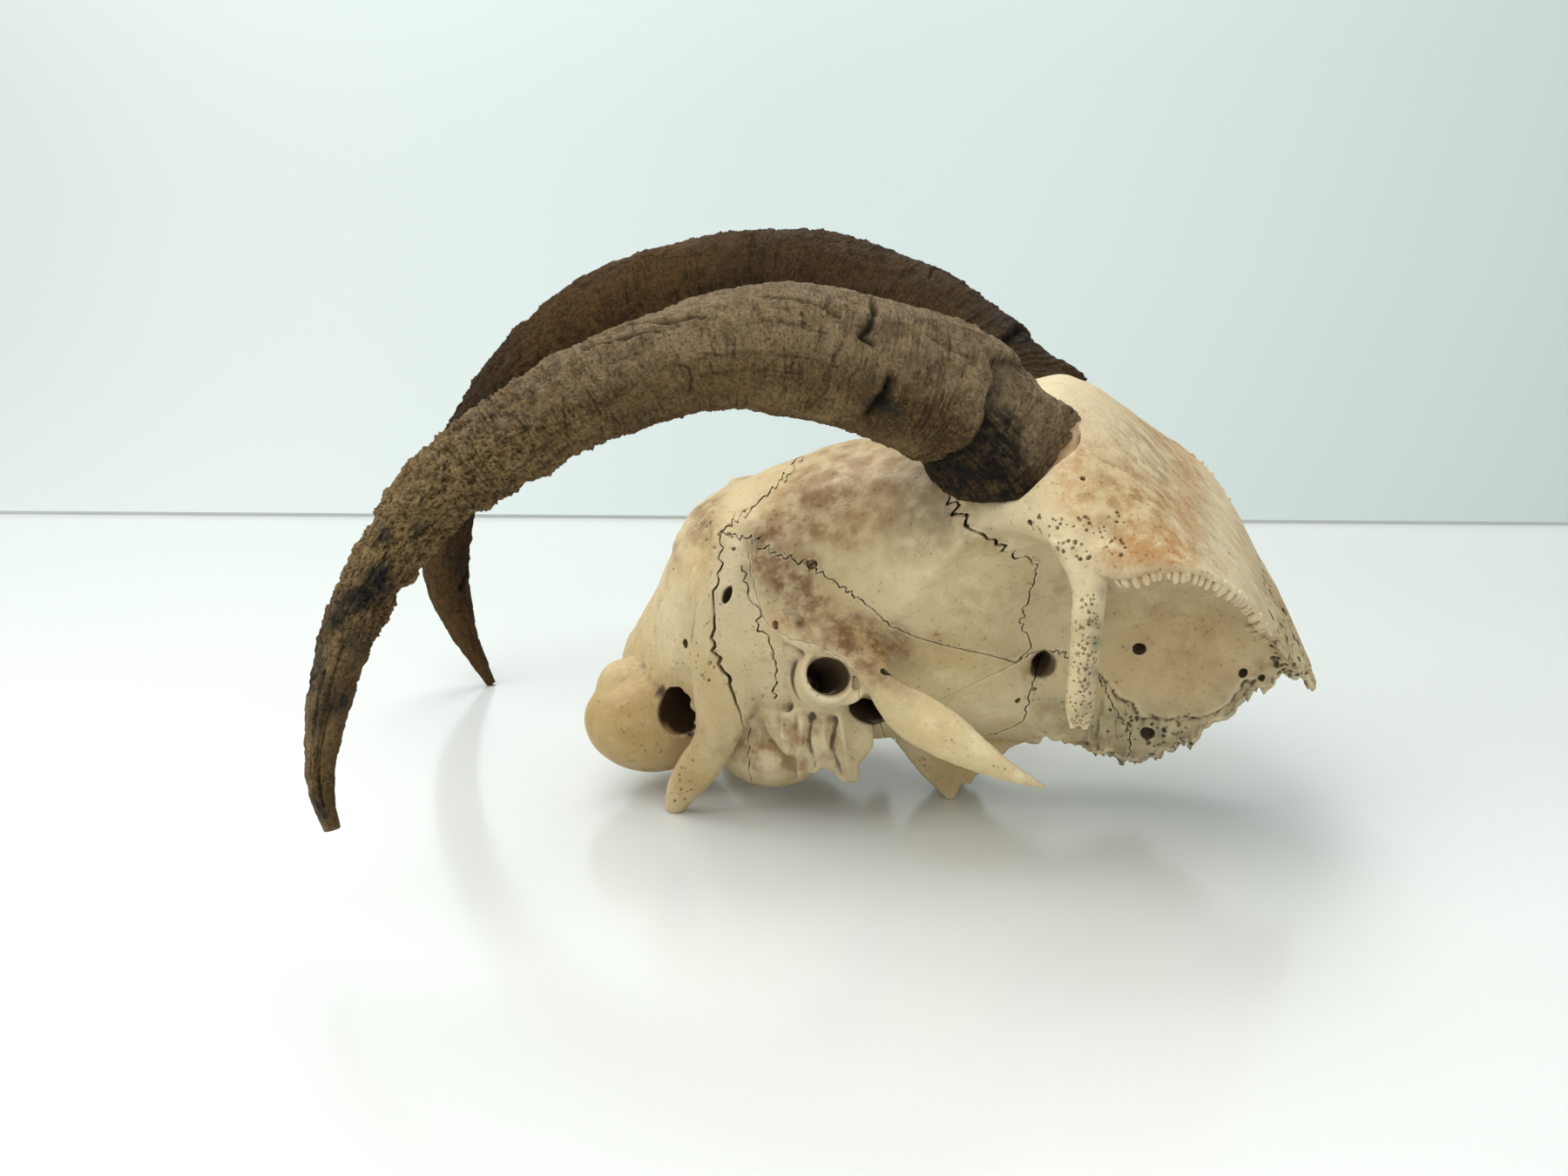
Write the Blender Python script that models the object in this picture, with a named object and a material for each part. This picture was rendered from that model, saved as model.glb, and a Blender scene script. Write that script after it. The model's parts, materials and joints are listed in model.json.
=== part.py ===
"""Goat cranium with both horns, resting on a table without its face or lower jaw.

Skull frame, in millimetres: U forward along the skull, V to the animal's left, W up.
The skull rests rolled a little onto its right side, on the tip of the right
paracondylar process, the tip of the right pterygoid and the tip of the left horn.
"""
import math

import bmesh
import bpy
from mathutils import Matrix, Vector
from mathutils.bvhtree import BVHTree

MM = 0.001
SUTURE_GAP = 0.30
RIGHT = -1
LEFT = 1

# How the skull lies: rolled about U, then lifted so that its lowest points reach the table.
ROLL_DEGREES = 4.5
REST_LIFT = 2.354
ORIGIN_U = 4.822
ORIGIN_V = -18.488

# Driving sizes of the braincase and forehead, as (station U, size) pairs.
CROWN_HEIGHT = ((-41, 27), (-37, 34.5), (-32, 44), (-28, 51), (-25, 58.5), (-22.3, 64.8), (-16.5, 69),
                (-10, 72.2), (-4, 75.6), (5, 79), (13, 82.2), (22, 84.2), (32, 87.5), (44, 92.5),
                (56, 97.2), (64, 98.8), (70, 97), (79.5, 90.2), (90, 80.4), (98, 71.9), (104, 66.2),
                (109.5, 58.8), (113.5, 51.0), (118, 45), (122, 38.5), (126, 31.5))
RIM_HALF_WIDTH = ((-41, 8), (-36, 11.5), (-30, 17), (-24, 23), (-16, 30), (-9, 34.5), (0, 36), (10, 36),
                  (20, 35.5), (30, 35), (40, 36.5), (50, 40), (58, 43.5), (66, 50.5), (74, 54.5),
                  (80, 54.5), (86, 53.5), (92, 52), (98, 49.5), (103, 46), (107, 42), (111, 36.5),
                  (117, 26.5), (122, 17), (126, 9))
RIM_HEIGHT = ((-41, 20), (-30, 28), (-24, 34), (-16, 40), (-9, 44), (0, 45), (10, 46), (20, 48), (30, 53),
              (40, 66), (50, 76), (58, 78), (66, 76.5), (74, 71.5), (80, 71), (86, 72.4), (92, 72),
              (98, 69.6), (103, 65.6), (107, 60.6), (111, 54), (117, 44), (122, 36.5), (126, 30.8))
WAIST_HALF_WIDTH = ((-41, 7.5), (-30, 15), (-24, 20), (-16, 26), (-9, 30), (0, 31), (20, 31), (40, 32),
                    (50, 30.5), (58, 27.5), (66, 24), (74, 22), (80, 21), (92, 21), (103, 24),
                    (111, 23.5), (117, 19.5), (122, 13), (126, 7))
WAIST_HEIGHT = ((-41, 14), (-30, 18), (-16, 25), (0, 28), (20, 31), (30, 35), (40, 42), (50, 47),
                (66, 48), (80, 45), (92, 43), (103, 43), (111, 41), (117, 37.5), (126, 29.7))
BASE_HALF_WIDTH = ((-41, 5), (-30, 10), (-20, 14), (-9, 17), (20, 16), (50, 17), (66, 17.5), (86, 18.5),
                   (103, 19.5), (111, 18), (117, 14.5), (122, 9.5), (126, 5))
BASE_SIDE_HEIGHT = ((-41, 11.8), (-20, 12.5), (0, 14), (20, 15), (40, 17.5), (58, 18), (70, 15),
                    (80, 12), (92, 14), (103, 21), (111, 28), (118, 31), (126, 29))
BASE_HEIGHT = ((-41, 11), (-20, 11), (0, 11), (20, 13), (40, 15.5), (58, 15), (70, 12), (80, 9.5),
               (92, 11.5), (103, 19.5), (111, 27), (118, 30.5), (126, 28.4))
SHELF_ANGLE = ((-41, 0.75), (30, 0.75), (45, 0.5), (60, 0.28), (100, 0.28), (126, 0.5))
CRANIUM_STATIONS = (-41, -37.5, -34, -30.5, -27.5, -25, -22.5, -19, -14, -9, -4, 2, 9, 17, 25, 33, 41,
                    48, 54, 59, 63.5, 67.5, 71, 74.5, 78, 82, 86, 90, 94, 98, 101.5, 104.5, 107.5,
                    110.5, 113.5, 117, 120.5, 123.5, 126)
CRANIUM_HALF_POINTS = 13

# Horn sheaths: (U, V, W, half depth, half thickness) along each centre line, base to tip.
RIGHT_HORN = ((53.0, -26.0, 88.9, 16.6, 17.5), (47.6, -28.2, 95.8, 15.9, 16.8),
              (40.3, -30.5, 102.4, 15.2, 15.3), (26.3, -36.0, 108.4, 14.3, 14.1),
              (9.9, -42.0, 112.9, 13.6, 13.3), (-6.0, -47.5, 113.1, 11.7, 12.5),
              (-18.8, -51.5, 109.7, 10.7, 11.6), (-33.2, -56.0, 103.9, 10.2, 10.7),
              (-44.8, -59.8, 97.0, 9.7, 10.0), (-56.9, -64.0, 89.2, 8.5, 8.8),
              (-66.3, -69.0, 78.5, 7.1, 7.5), (-73.9, -75.0, 66.0, 6.1, 6.3),
              (-78.2, -81.0, 53.0, 5.0, 5.1), (-79.6, -88.0, 40.2, 3.7, 3.8),
              (-78.8, -92.6, 32.2, 3.0, 3.0), (-75.2, -97.0, 25.0, 1.7, 1.8))
LEFT_HORN = ((53.0, 26.0, 88.9, 16.6, 16.3), (47.0, 28.6, 94.6, 14.4, 14.2),
             (37.8, 31.9, 100.3, 13.6, 12.5), (21.0, 39.0, 108.2, 13.4, 11.5),
             (-4.2, 47.5, 113.0, 13.1, 10.7), (-33.9, 54.0, 109.3, 12.2, 9.9),
             (-55.2, 57.5, 102.3, 11.4, 9.2), (-73.2, 60.0, 91.5, 10.5, 8.5),
             (-87.4, 61.2, 78.7, 9.2, 7.8), (-98.5, 61.4, 64.1, 8.0, 7.0),
             (-105.2, 61.0, 49.2, 7.4, 6.2), (-108.7, 60.2, 35.0, 7.1, 5.5),
             (-108.8, 59.6, 24.6, 6.5, 5.0), (-106.5, 58.6, 13.6, 5.1, 4.1),
             (-102.5, 57.2, 4.4, 3.3, 2.9), (-96.2, 55.2, -6.4, 1.3, 1.3))
HORN_BASE_TILT = Vector((-0.20, 0.42, 0.885))
HORN_ARC_CENTRE = (-12, 20)
HORN_RINGS = 46
HORN_SIDES = 16
RING_DEPTH = 0.022
DEEP_GROOVES = ((0.14, 0.05), (0.33, 0.06), (0.47, 0.05), (0.60, 0.035))
HORN_BOSS_RADIUS = 14.2
SEAT_RADIUS = 18.6

# The hollow of the snout end, and the narrow root where the ethmoid grows from the vomer.
NASAL_HOLLOW = ((66, 36, 9, 10), (76, 40, 15, 19), (88, 40, 17.5, 27), (100, 36, 18.5, 26),
                (110, 30, 17, 21.5), (119, 24, 12.5, 16), (130, 14, 8, 14))
SINUS_CENTRE = (81, 18.0, 70.6)
SINUS_HALF_AXES = (23, 15.5, 10.8)
ETHMOID_ROOT = ((64.2, 32.5, 8, 8.2), (66.4, 33.0, 8, 8.5))
ETHMOID_CLEARANCE = 0.4

# Sutures as seen from the side, as (U, W) points. Each is cut through as a thin gap.
CORONAL_SUTURE = ((33, 112), (35, 96), (40, 84), (45.9, 77.3), (50.5, 74.2), (54, 71.5), (57.2, 67.6),
                  (61.9, 65.5), (61.4, 61), (60.2, 57.1), (58.5, 50.6), (61.5, 44.6), (57.8, 41.0))
SQUAMOSAL_SUTURE = ((-9.6, 67.4), (-5, 66.4), (-1.2, 66.7), (2, 64), (5.4, 63.1), (10.5, 62.6),
                    (15.9, 60.4), (21, 57), (26, 54.8), (31, 51), (35.8, 48.5), (41, 46.8),
                    (47.4, 44.6), (52, 43.4), (57.8, 41.0))
LAMBDOID_SUTURE = ((12, 96), (9, 84), (3.5, 77.5), (-3, 72), (-9.6, 67.4), (-8.6, 60.4), (-9.6, 55),
                   (-8.8, 51.3), (-9.4, 47), (-9, 43.4), (-7, 39), (-5.6, 34.8))
PARACONDYLAR_SUTURE = ((-5.6, 34.8), (-4, 30), (-3.0, 25), (-3.0, -12))
BASIOCCIPITAL_FRONT = ((-5.6, 34.8), (8, 27), (24, 25), (24, -12))
PETROUS_FRONT = ((-3.2, 66.6), (0.2, 57), (2.6, 50.8), (9.0, 48.6), (17, 48.6), (22.4, 46.0),
                 (24.7, 42), (25.0, 37), (27.5, 24.5))
SQUAMA_FRONT = ((57.8, 41.0), (50, 37), (43, 33), (36, 28.5), (27.5, 24.5))
PETROUS_LOWER_FRONT = ((27.5, 24.5), (28.5, -12))
ORBIT_FLOOR_SUTURE = ((57.8, 41.0), (62, 43.4), (68, 42.5), (73, 38), (77, 35), (80.5, 28), (84, 23),
                      (84.5, 4))
PTERYGOID_SUTURE = ((64, 43.1), (61, 33), (60, 25), (54, 20.5), (46, 17.4), (36, 16.6), (29.3, 16.2),
                    (27.2, -6))
VOMER_SUTURE = ((63.9, 43.1), (61, 33), (60, 25), (60, -6))
BASE_COLUMN_HALF = 15.0
VOMER_HALF = 8.2
WALL_REACH = 40.5

# Cream bone and dark horn, as plain colours.
FRESH_BONE = (0.76, 0.66, 0.44, 1)
PALE_BONE = (0.80, 0.72, 0.54, 1)
WARM_BONE = (0.72, 0.58, 0.34, 1)
STAINED_BONE = (0.62, 0.46, 0.27, 1)
GREY_BONE = (0.60, 0.54, 0.42, 1)
HORN_BROWN = (0.115, 0.082, 0.052, 1)
HORN_DARK = (0.085, 0.062, 0.043, 1)


def clear_scene():
    for thing in list(bpy.data.objects):
        bpy.data.objects.remove(thing, do_unlink=True)


def along(profile, station):
    """Read a size profile at a station, as a smooth curve that never overshoots its points."""
    count = len(profile)
    if station <= profile[0][0]:
        return profile[0][1]
    if station >= profile[-1][0]:
        return profile[-1][1]
    place = next(i for i in range(count - 1) if profile[i][0] <= station <= profile[i + 1][0])

    def slope(index):
        if index < 0 or index >= count - 1:
            return None
        near, far = profile[index], profile[index + 1]
        return (far[1] - near[1]) / (far[0] - near[0])

    def tangent(before, after):
        if before is None or after is None:
            return before if after is None else after
        if before * after <= 0:
            return 0.0
        return 2 * before * after / (before + after)

    (x0, y0), (x1, y1) = profile[place], profile[place + 1]
    start = tangent(slope(place - 1), slope(place))
    end = tangent(slope(place), slope(place + 1))
    width = x1 - x0
    t = (station - x0) / width
    return ((2 * t ** 3 - 3 * t ** 2 + 1) * y0 + (t ** 3 - 2 * t ** 2 + t) * width * start
            + (-2 * t ** 3 + 3 * t ** 2) * y1 + (t ** 3 - t ** 2) * width * end)


def through(points, count):
    """Return count points on a smooth curve through the given points, evenly along it."""
    points = [Vector(p) for p in points]
    padded = [2 * points[0] - points[1]] + points + [2 * points[-1] - points[-2]]
    fine = []
    steps = 16
    for k in range(len(points) - 1):
        a, b, c, d = padded[k:k + 4]
        for s in range(steps):
            t = s / steps
            fine.append(0.5 * (2 * b + (c - a) * t + (2 * a - 5 * b + 4 * c - d) * t * t
                               + (3 * b - a - 3 * c + d) * t ** 3))
    fine.append(points[-1])
    lengths = [0.0]
    for near, far in zip(fine, fine[1:]):
        lengths.append(lengths[-1] + (far - near).length)
    result = []
    place = 0
    for k in range(count):
        wanted = lengths[-1] * k / (count - 1)
        while place < len(fine) - 2 and lengths[place + 1] < wanted:
            place += 1
        span = lengths[place + 1] - lengths[place]
        result.append(fine[place].lerp(fine[place + 1], (wanted - lengths[place]) / span))
    return result


def mesh_object(name, points, faces):
    """Make a closed, outward facing mesh object from points in skull millimetres."""
    shape = bmesh.new()
    corners = [shape.verts.new(Vector(p) * MM) for p in points]
    for face in faces:
        shape.faces.new([corners[i] for i in face])
    bmesh.ops.recalc_face_normals(shape, faces=shape.faces)
    if shape.calc_volume(signed=True) < 0:
        bmesh.ops.reverse_faces(shape, faces=shape.faces)
    bmesh.ops.triangulate(shape, faces=shape.faces)
    mesh = bpy.data.meshes.new(name)
    shape.to_mesh(mesh)
    shape.free()
    thing = bpy.data.objects.new(name, mesh)
    bpy.context.scene.collection.objects.link(thing)
    return thing


def loft(name, rings):
    """Skin a row of rings, all of one count of points, and close both ends with a fan."""
    sides = len(rings[0])
    points = [p for ring in rings for p in ring]
    faces = []
    for row in range(len(rings) - 1):
        for k in range(sides):
            after = (k + 1) % sides
            faces.append((row * sides + k, row * sides + after,
                          (row + 1) * sides + after, (row + 1) * sides + k))
    for row in (0, len(rings) - 1):
        middle = sum((Vector(p) for p in rings[row]), Vector()) / sides
        points.append(middle)
        for k in range(sides):
            faces.append((row * sides + k, row * sides + (k + 1) % sides, len(points) - 1))
    return mesh_object(name, points, faces)


def oval(centre, across, up, sides, power=1.0):
    """An oval ring of points about a centre, spanned by two half-axis vectors."""
    ring = []
    for k in range(sides):
        angle = 2 * math.pi * k / sides
        c, s = math.cos(angle), math.sin(angle)
        c = math.copysign(abs(c) ** power, c)
        s = math.copysign(abs(s) ** power, s)
        ring.append(Vector(centre) + Vector(across) * c + Vector(up) * s)
    return ring


def egg(name, centre, half_axes, tilt=(0, 0, 0), sides=18, rows=11):
    """An ellipsoid about a centre, turned by tilt degrees about U, V and W."""
    turn = (Matrix.Rotation(math.radians(tilt[2]), 3, 'Z') @ Matrix.Rotation(math.radians(tilt[1]), 3, 'Y')
            @ Matrix.Rotation(math.radians(tilt[0]), 3, 'X'))
    shape = bmesh.new()
    bmesh.ops.create_uvsphere(shape, u_segments=sides, v_segments=rows, radius=1.0)
    points = [Vector(centre) + turn @ Vector([c * h for c, h in zip(v.co, half_axes)]) for v in shape.verts]
    faces = [[v.index for v in f.verts] for f in shape.faces]
    shape.free()
    return mesh_object(name, points, faces)


def tapered_bar(name, stations, sides=10, power=1.0):
    """A bar lofted through stations of (centre, half-axis vector, half-axis vector)."""
    return loft(name, [oval(c, a, b, sides, power) for c, a, b in stations])


def side_slab(name, outline, near_v, far_v):
    """A slab whose outline is drawn in the side view, between two distances from the midline."""
    count = len(outline)
    points = [Vector((u, near_v, w)) for u, w in outline] + [Vector((u, far_v, w)) for u, w in outline]
    faces = [tuple(range(count)), tuple(range(count, 2 * count))]
    faces += [(k, (k + 1) % count, count + (k + 1) % count, count + k) for k in range(count)]
    return mesh_object(name, points, faces)


def suture_cut(name, line, near_v, far_v):
    """The thin gap of a suture: a ribbon along the line, drawn in the side view."""
    line = [Vector(p) for p in line]
    left, right = [], []
    for k, point in enumerate(line):
        before = (point - line[k - 1]).normalized() if k else None
        after = (line[k + 1] - point).normalized() if k < len(line) - 1 else None
        ends = [d for d in (before, after) if d is not None]
        run = sum(ends, Vector((0, 0))).normalized()
        normal = Vector((-run.y, run.x))
        reach = SUTURE_GAP / 2 / max(0.5, run.dot(ends[0]))
        overrun = run * (-0.4 if k == 0 else 0.4 if k == len(line) - 1 else 0.0)
        left.append(point + overrun + normal * reach)
        right.append(point + overrun - normal * reach)
    rows = len(line)
    points = [Vector((p.x, v, p.y)) for v in (near_v, far_v) for side in (left, right) for p in side]

    def at(v, side, k):
        return (v * 2 + side) * rows + k

    faces = []
    for k in range(rows - 1):
        faces += [(at(0, 0, k), at(0, 0, k + 1), at(0, 1, k + 1), at(0, 1, k)),
                  (at(1, 0, k), at(1, 0, k + 1), at(1, 1, k + 1), at(1, 1, k)),
                  (at(0, 0, k), at(0, 0, k + 1), at(1, 0, k + 1), at(1, 0, k)),
                  (at(0, 1, k), at(0, 1, k + 1), at(1, 1, k + 1), at(1, 1, k))]
    for k in (0, rows - 1):
        faces.append((at(0, 0, k), at(0, 1, k), at(1, 1, k), at(1, 0, k)))
    return mesh_object(name, points, faces)


def apply_modifiers(thing):
    result = bpy.data.meshes.new_from_object(thing.evaluated_get(bpy.context.evaluated_depsgraph_get()))
    thing.modifiers.clear()
    thing.data = result


def boolean(thing, others, operation, solver='MANIFOLD'):
    """Join the others to a piece, or cut them from it, all at once, and remove them.

    The gaps between bones are so thin that only the manifold solver keeps every bone closed.
    """
    group = bpy.data.collections.new('operands')
    bpy.context.scene.collection.children.link(group)
    for other in others:
        bpy.context.scene.collection.objects.unlink(other)
        group.objects.link(other)
    step = thing.modifiers.new('step', 'BOOLEAN')
    step.operand_type = 'COLLECTION'
    step.collection = group
    step.operation = operation
    step.solver = solver
    apply_modifiers(thing)
    for other in list(group.objects):
        bpy.data.objects.remove(other, do_unlink=True)
    bpy.data.collections.remove(group)


def cranium_ring(u):
    """One upright section through the skull roof, widest rim, waist and base."""
    crown = along(CROWN_HEIGHT, u)
    rim, rim_w = along(RIM_HALF_WIDTH, u), along(RIM_HEIGHT, u)
    waist, waist_w = along(WAIST_HALF_WIDTH, u), along(WAIST_HEIGHT, u)
    base, base_w = along(BASE_HALF_WIDTH, u), along(BASE_SIDE_HEIGHT, u)
    under = along(SHELF_ANGLE, u)
    half = [(0, crown), (0.55 * rim, crown - 0.165 * (crown - rim_w)),
            (0.87 * rim, crown - 0.51 * (crown - rim_w)), (rim, rim_w),
            (waist + under * (rim - waist), rim_w - 0.28 * (rim_w - waist_w)), (waist, waist_w),
            (0.5 * (waist + base) + 0.12 * waist, 0.5 * (waist_w + base_w)),
            (base, base_w), (0, along(BASE_HEIGHT, u))]
    mirrored = [(-half[1][0], half[1][1])] + half + [(-half[-2][0], half[-2][1])]
    curve = through([(v, w, 0) for v, w in mirrored], 90)
    right_half = [p for p in curve if p.x >= -1e-6]
    points = [right_half[round(k * (len(right_half) - 1) / (CRANIUM_HALF_POINTS - 1))]
              for k in range(CRANIUM_HALF_POINTS)]
    points[0] = Vector((0, crown, 0))
    points[-1] = Vector((0, half[-1][1], 0))
    ring = [Vector((u, p.x, p.y)) for p in points]
    ring += [Vector((u, -p.x, p.y)) for p in reversed(points[1:-1])]
    return ring


def cranium_body():
    """The fused mass of the cranium, before its openings and sutures are cut."""
    body = loft('cranium', [cranium_ring(u) for u in CRANIUM_STATIONS])
    additions = []
    for side in (RIGHT, LEFT):
        additions += paired_forms(side)
    boolean(body, additions, 'UNION')
    return body


def paired_forms(side):
    """Every process that stands out from one side of the braincase."""
    forms = [egg('condyle', (-30.4, side * 15.4, 16.2), (15.8, 10.0, 12.6), (0, 8, side * -12)),
             egg('condyle_top', (-34.6, side * 13.6, 23.0), (9.2, 7.2, 8.6), (0, 24, side * -10), 14, 9),
             egg('bulla', (1.0, side * 21.5, 15.0), (13.5, 9.0, 10.2), (0, -4, side * 8), 14, 9),
             egg('mastoid', (-7, side * 30.5, 43), (9, 5.5, 16), (0, 6, 0), 12, 9)]
    forms.append(tapered_bar('paracondylar', [
        (Vector((-7.6, side * 30.0, 37)), Vector((8.8, 0, -2)), Vector((1, side * 5.8, 0))),
        (Vector((-8.6, side * 32.2, 27)), Vector((6.2, 0, -1.8)), Vector((1, side * 4.2, 0))),
        (Vector((-10.8, side * 32.2, 19)), Vector((4.4, 0, -2.3)), Vector((0, side * 3.3, 0))),
        (Vector((-15.0, side * 31.4, 12)), Vector((4.1, 0, -2.7)), Vector((0, side * 2.9, 0))),
        (Vector((-19.0, side * 30.4, 6.0)), Vector((3.2, 0, -2.3)), Vector((0, side * 2.7, 0))),
        (Vector((-22.0, side * 29.8, -1.0)), Vector((2.3, 0, -1.3)), Vector((0, side * 2.4, 0)))], 12))
    forms.append(tapered_bar('ear_tube', [
        (Vector((10, side * 24.0, 31)), Vector((8.5, 0, 1)), Vector((0, 1, 8.0))),
        (Vector((14, side * 33.0, 36)), Vector((7.6, side * 1.5, 0)), Vector((0, side * -1.5, 7.2))),
        (Vector((17.2, side * 42.6, 41.2)), Vector((6.4, side * 1.4, 0)), Vector((0, side * -1.5, 6.1)))], 14))
    forms.append(tapered_bar('ear_floor', [
        (Vector((12, side * 27, 33)), Vector((15, 0, 0)), Vector((0, side * 4, -4))),
        (Vector((14, side * 31, 24)), Vector((13, 0, 0)), Vector((0, side * 2.4, -1))),
        (Vector((15, side * 32.4, 17)), Vector((10.5, 0, 0)), Vector((0, side * 1.2, 0)))], 10))
    forms.append(tapered_bar('crest_over_ear', [
        (Vector((1, side * 32.0, 51.4)), Vector((0, side * 2.6, 0)), Vector((0.6, 0, 2.4))),
        (Vector((11, side * 37.0, 47.9)), Vector((0, side * 3.2, 0)), Vector((0.6, 0, 2.0))),
        (Vector((19, side * 40.2, 46.4)), Vector((0, side * 3.0, 0)), Vector((0.6, 0, 1.9))),
        (Vector((27, side * 42.2, 44.6)), Vector((0, side * 2.2, 0)), Vector((0.8, 0, 2.2)))], 10))
    for u, w_tip, lean in ((10.6, 11.2, -0.4), (20.3, 10.8, 0.3), (25.0, 15.5, 0.8)):
        forms.append(tapered_bar('ear_spine', [
            (Vector((u - lean, side * 32.0, 20)), Vector((3.4, 0, 0)), Vector((0, side * 1.1, 0))),
            (Vector((u, side * 32.8, w_tip)), Vector((0.7, 0, 0)), Vector((0, side * 0.6, 0)))], 6))
    forms.append(tapered_bar('zygomatic_process', [
        (Vector((19, side * 31.0, 52.0)), Vector((-10, side * 1, 1)), Vector((0, side * -1.4, 4.6))),
        (Vector((22.5, side * 37.4, 48.6)), Vector((-7, side * 4.4, 1.5)), Vector((0, side * -1.6, 3.4))),
        (Vector((27.5, side * 42.4, 44.2)), Vector((-3, side * 3.0, 0)), Vector((0.8, side * 0.6, 2.8))),
        (Vector((31, side * 46.0, 39.6)), Vector((-1, side * 2.2, 0)), Vector((1.6, side * 0.8, 4.4))),
        (Vector((37.5, side * 49.2, 36.4)), Vector((-0.8, side * 1.9, 0)), Vector((3.0, side * 0.8, 5.6))),
        (Vector((44.5, side * 51.6, 33.2)), Vector((-0.8, side * 1.9, 0)), Vector((3.0, side * 0.6, 5.2))),
        (Vector((52, side * 53.2, 29.4)), Vector((-0.6, side * 1.7, 0)), Vector((2.0, side * 0.4, 3.5))),
        (Vector((59.5, side * 53.8, 26.0)), Vector((-0.5, side * 1.3, 0)), Vector((0.9, 0, 1.9))),
        (Vector((66.4, side * 53.2, 23.1)), Vector((-0.2, side * 0.6, 0)), Vector((0.3, 0, 0.6)))], 10))
    forms.append(side_slab('pterygoid_plate', (
        (27, 19), (30, 12.4), (35, 7.6), (39.2, 3.2), (41.6, -1.8), (43.2, -1.8), (44.6, 1.8), (47, 3.6),
        (48.7, 6.1), (52.9, 9.2), (55, 11), (57.9, 13.4), (61, 15.4), (64.9, 17.6), (66, 22), (45, 24)),
        side * 8.8, side * 11.7))
    normal = Vector((HORN_BASE_TILT.x, side * HORN_BASE_TILT.y, HORN_BASE_TILT.z)).normalized()
    across = Vector((1, 0, 0)) - normal * normal.x
    across.normalize()
    up = normal.cross(across)
    top = Vector((RIGHT_HORN[0][0], side * 26.0, RIGHT_HORN[0][2]))
    forms.append(tapered_bar('horn_boss', [
        (top - normal * 14, across * 19, up * 17),
        (top - normal * 5, across * (HORN_BOSS_RADIUS + 1.6), up * (HORN_BOSS_RADIUS + 1.6)),
        (top, across * HORN_BOSS_RADIUS, up * HORN_BOSS_RADIUS)], 18))
    return forms


def orbital_bar(side):
    """The broken bar of bone that hangs down behind one orbit."""
    return tapered_bar('orbital_bar', [
        (Vector((70.5, side * 49.0, 76.5)), Vector((6.5, 0, -1)), Vector((0, side * 4.5, 1))),
        (Vector((73.0, side * 52.4, 69)), Vector((3.9, 0, 0)), Vector((0, side * 3.4, 0))),
        (Vector((73.0, side * 54.6, 61)), Vector((3.2, 0, 0)), Vector((0, side * 2.7, 0))),
        (Vector((72.7, side * 56.0, 52)), Vector((3.0, 0, 0)), Vector((0, side * 2.4, 0))),
        (Vector((72.4, side * 56.8, 44)), Vector((2.9, 0, 0)), Vector((0, side * 1.9, 0))),
        (Vector((72.2, side * 57.0, 38.8)), Vector((1.5, 0, 0)), Vector((0, side * 0.9, 0)))], 10)


def nasal_hollow(clearance, root=()):
    """The hollow inside the snout end, from (U, W, half width, half height) stations."""
    stations = root + NASAL_HOLLOW[1:] if root else NASAL_HOLLOW
    return tapered_bar('nasal_hollow', [
        (Vector((u, 0, w)), Vector((0, half_width - clearance, 0)), Vector((0, 0, half_height - clearance)))
        for u, w, half_width, half_height in stations], 16)


def opening_cutters():
    """Solids of every hollow: orbits, ear openings, foramen magnum and the torn nasal end."""
    cutters = [egg('foramen_magnum', (-43, 0, 19), (29, 10.2, 10.8), (0, 6, 0), 16, 11), nasal_hollow(0.0)]
    for side in (RIGHT, LEFT):
        u, v, w = SINUS_CENTRE
        cutters.append(egg('sinus', (u, side * v, w), SINUS_HALF_AXES, (side * 14, 24, 0), 14, 9))
        cutters.append(egg('orbit', (91.6, side * 54, 47.2), (19.8, 33, 22.4), (0, 0, 0), 28, 17))
        cutters.append(egg('condyle_notch', (-20.4, side * 25.0, 21.4), (5.4, 9.6, 7.8),
                           (0, 0, side * 14), 12, 9))
        cutters.append(tapered_bar('ear_hole', [
            (Vector((13, side * 31.0, 34.5)), Vector((3.2, 0, 0)), Vector((0, 0, 3.2))),
            (Vector((18.2, side * 46, 41.6)), Vector((5.3, 0, 0)), Vector((0, 0, 5.3)))], 12))
        cutters.append(egg('optic_canal', (66.5, side * 22, 37.4), (3.4, 9, 2.6), (0, 0, side * -38), 10, 7))
    return cutters


def torn_edge_cutter():
    """What is missing below the torn lower edge of the snout end, as a toothed slab."""
    edge = ((54, 4), (57.9, 13.8), (61, 17.0), (64.0, 19.0), (67.5, 20.6), (69.8, 19.0), (72.5, 19.8),
            (75, 17.0), (77, 17.4), (78.9, 15.0), (81, 16.4), (83, 14.0), (84.9, 15.6), (87, 14.6),
            (89, 16.4), (91.4, 16.4), (93.5, 19.8), (95.5, 19.8), (97.9, 23.6), (99.6, 24.0),
            (101.2, 26.8), (103.2, 26.6), (105, 30.0), (107.4, 30.6), (109, 34.2), (112.2, 34.4),
            (114, 36.8), (116, 35.2), (118, 36.6), (119.8, 34.0), (122, 34.6), (124.2, 31.0),
            (127.5, 29.6), (132, 27))
    outline = list(edge) + [(132, -6), (54, -6)]
    return side_slab('torn_edge', outline, -30, 30)


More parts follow.
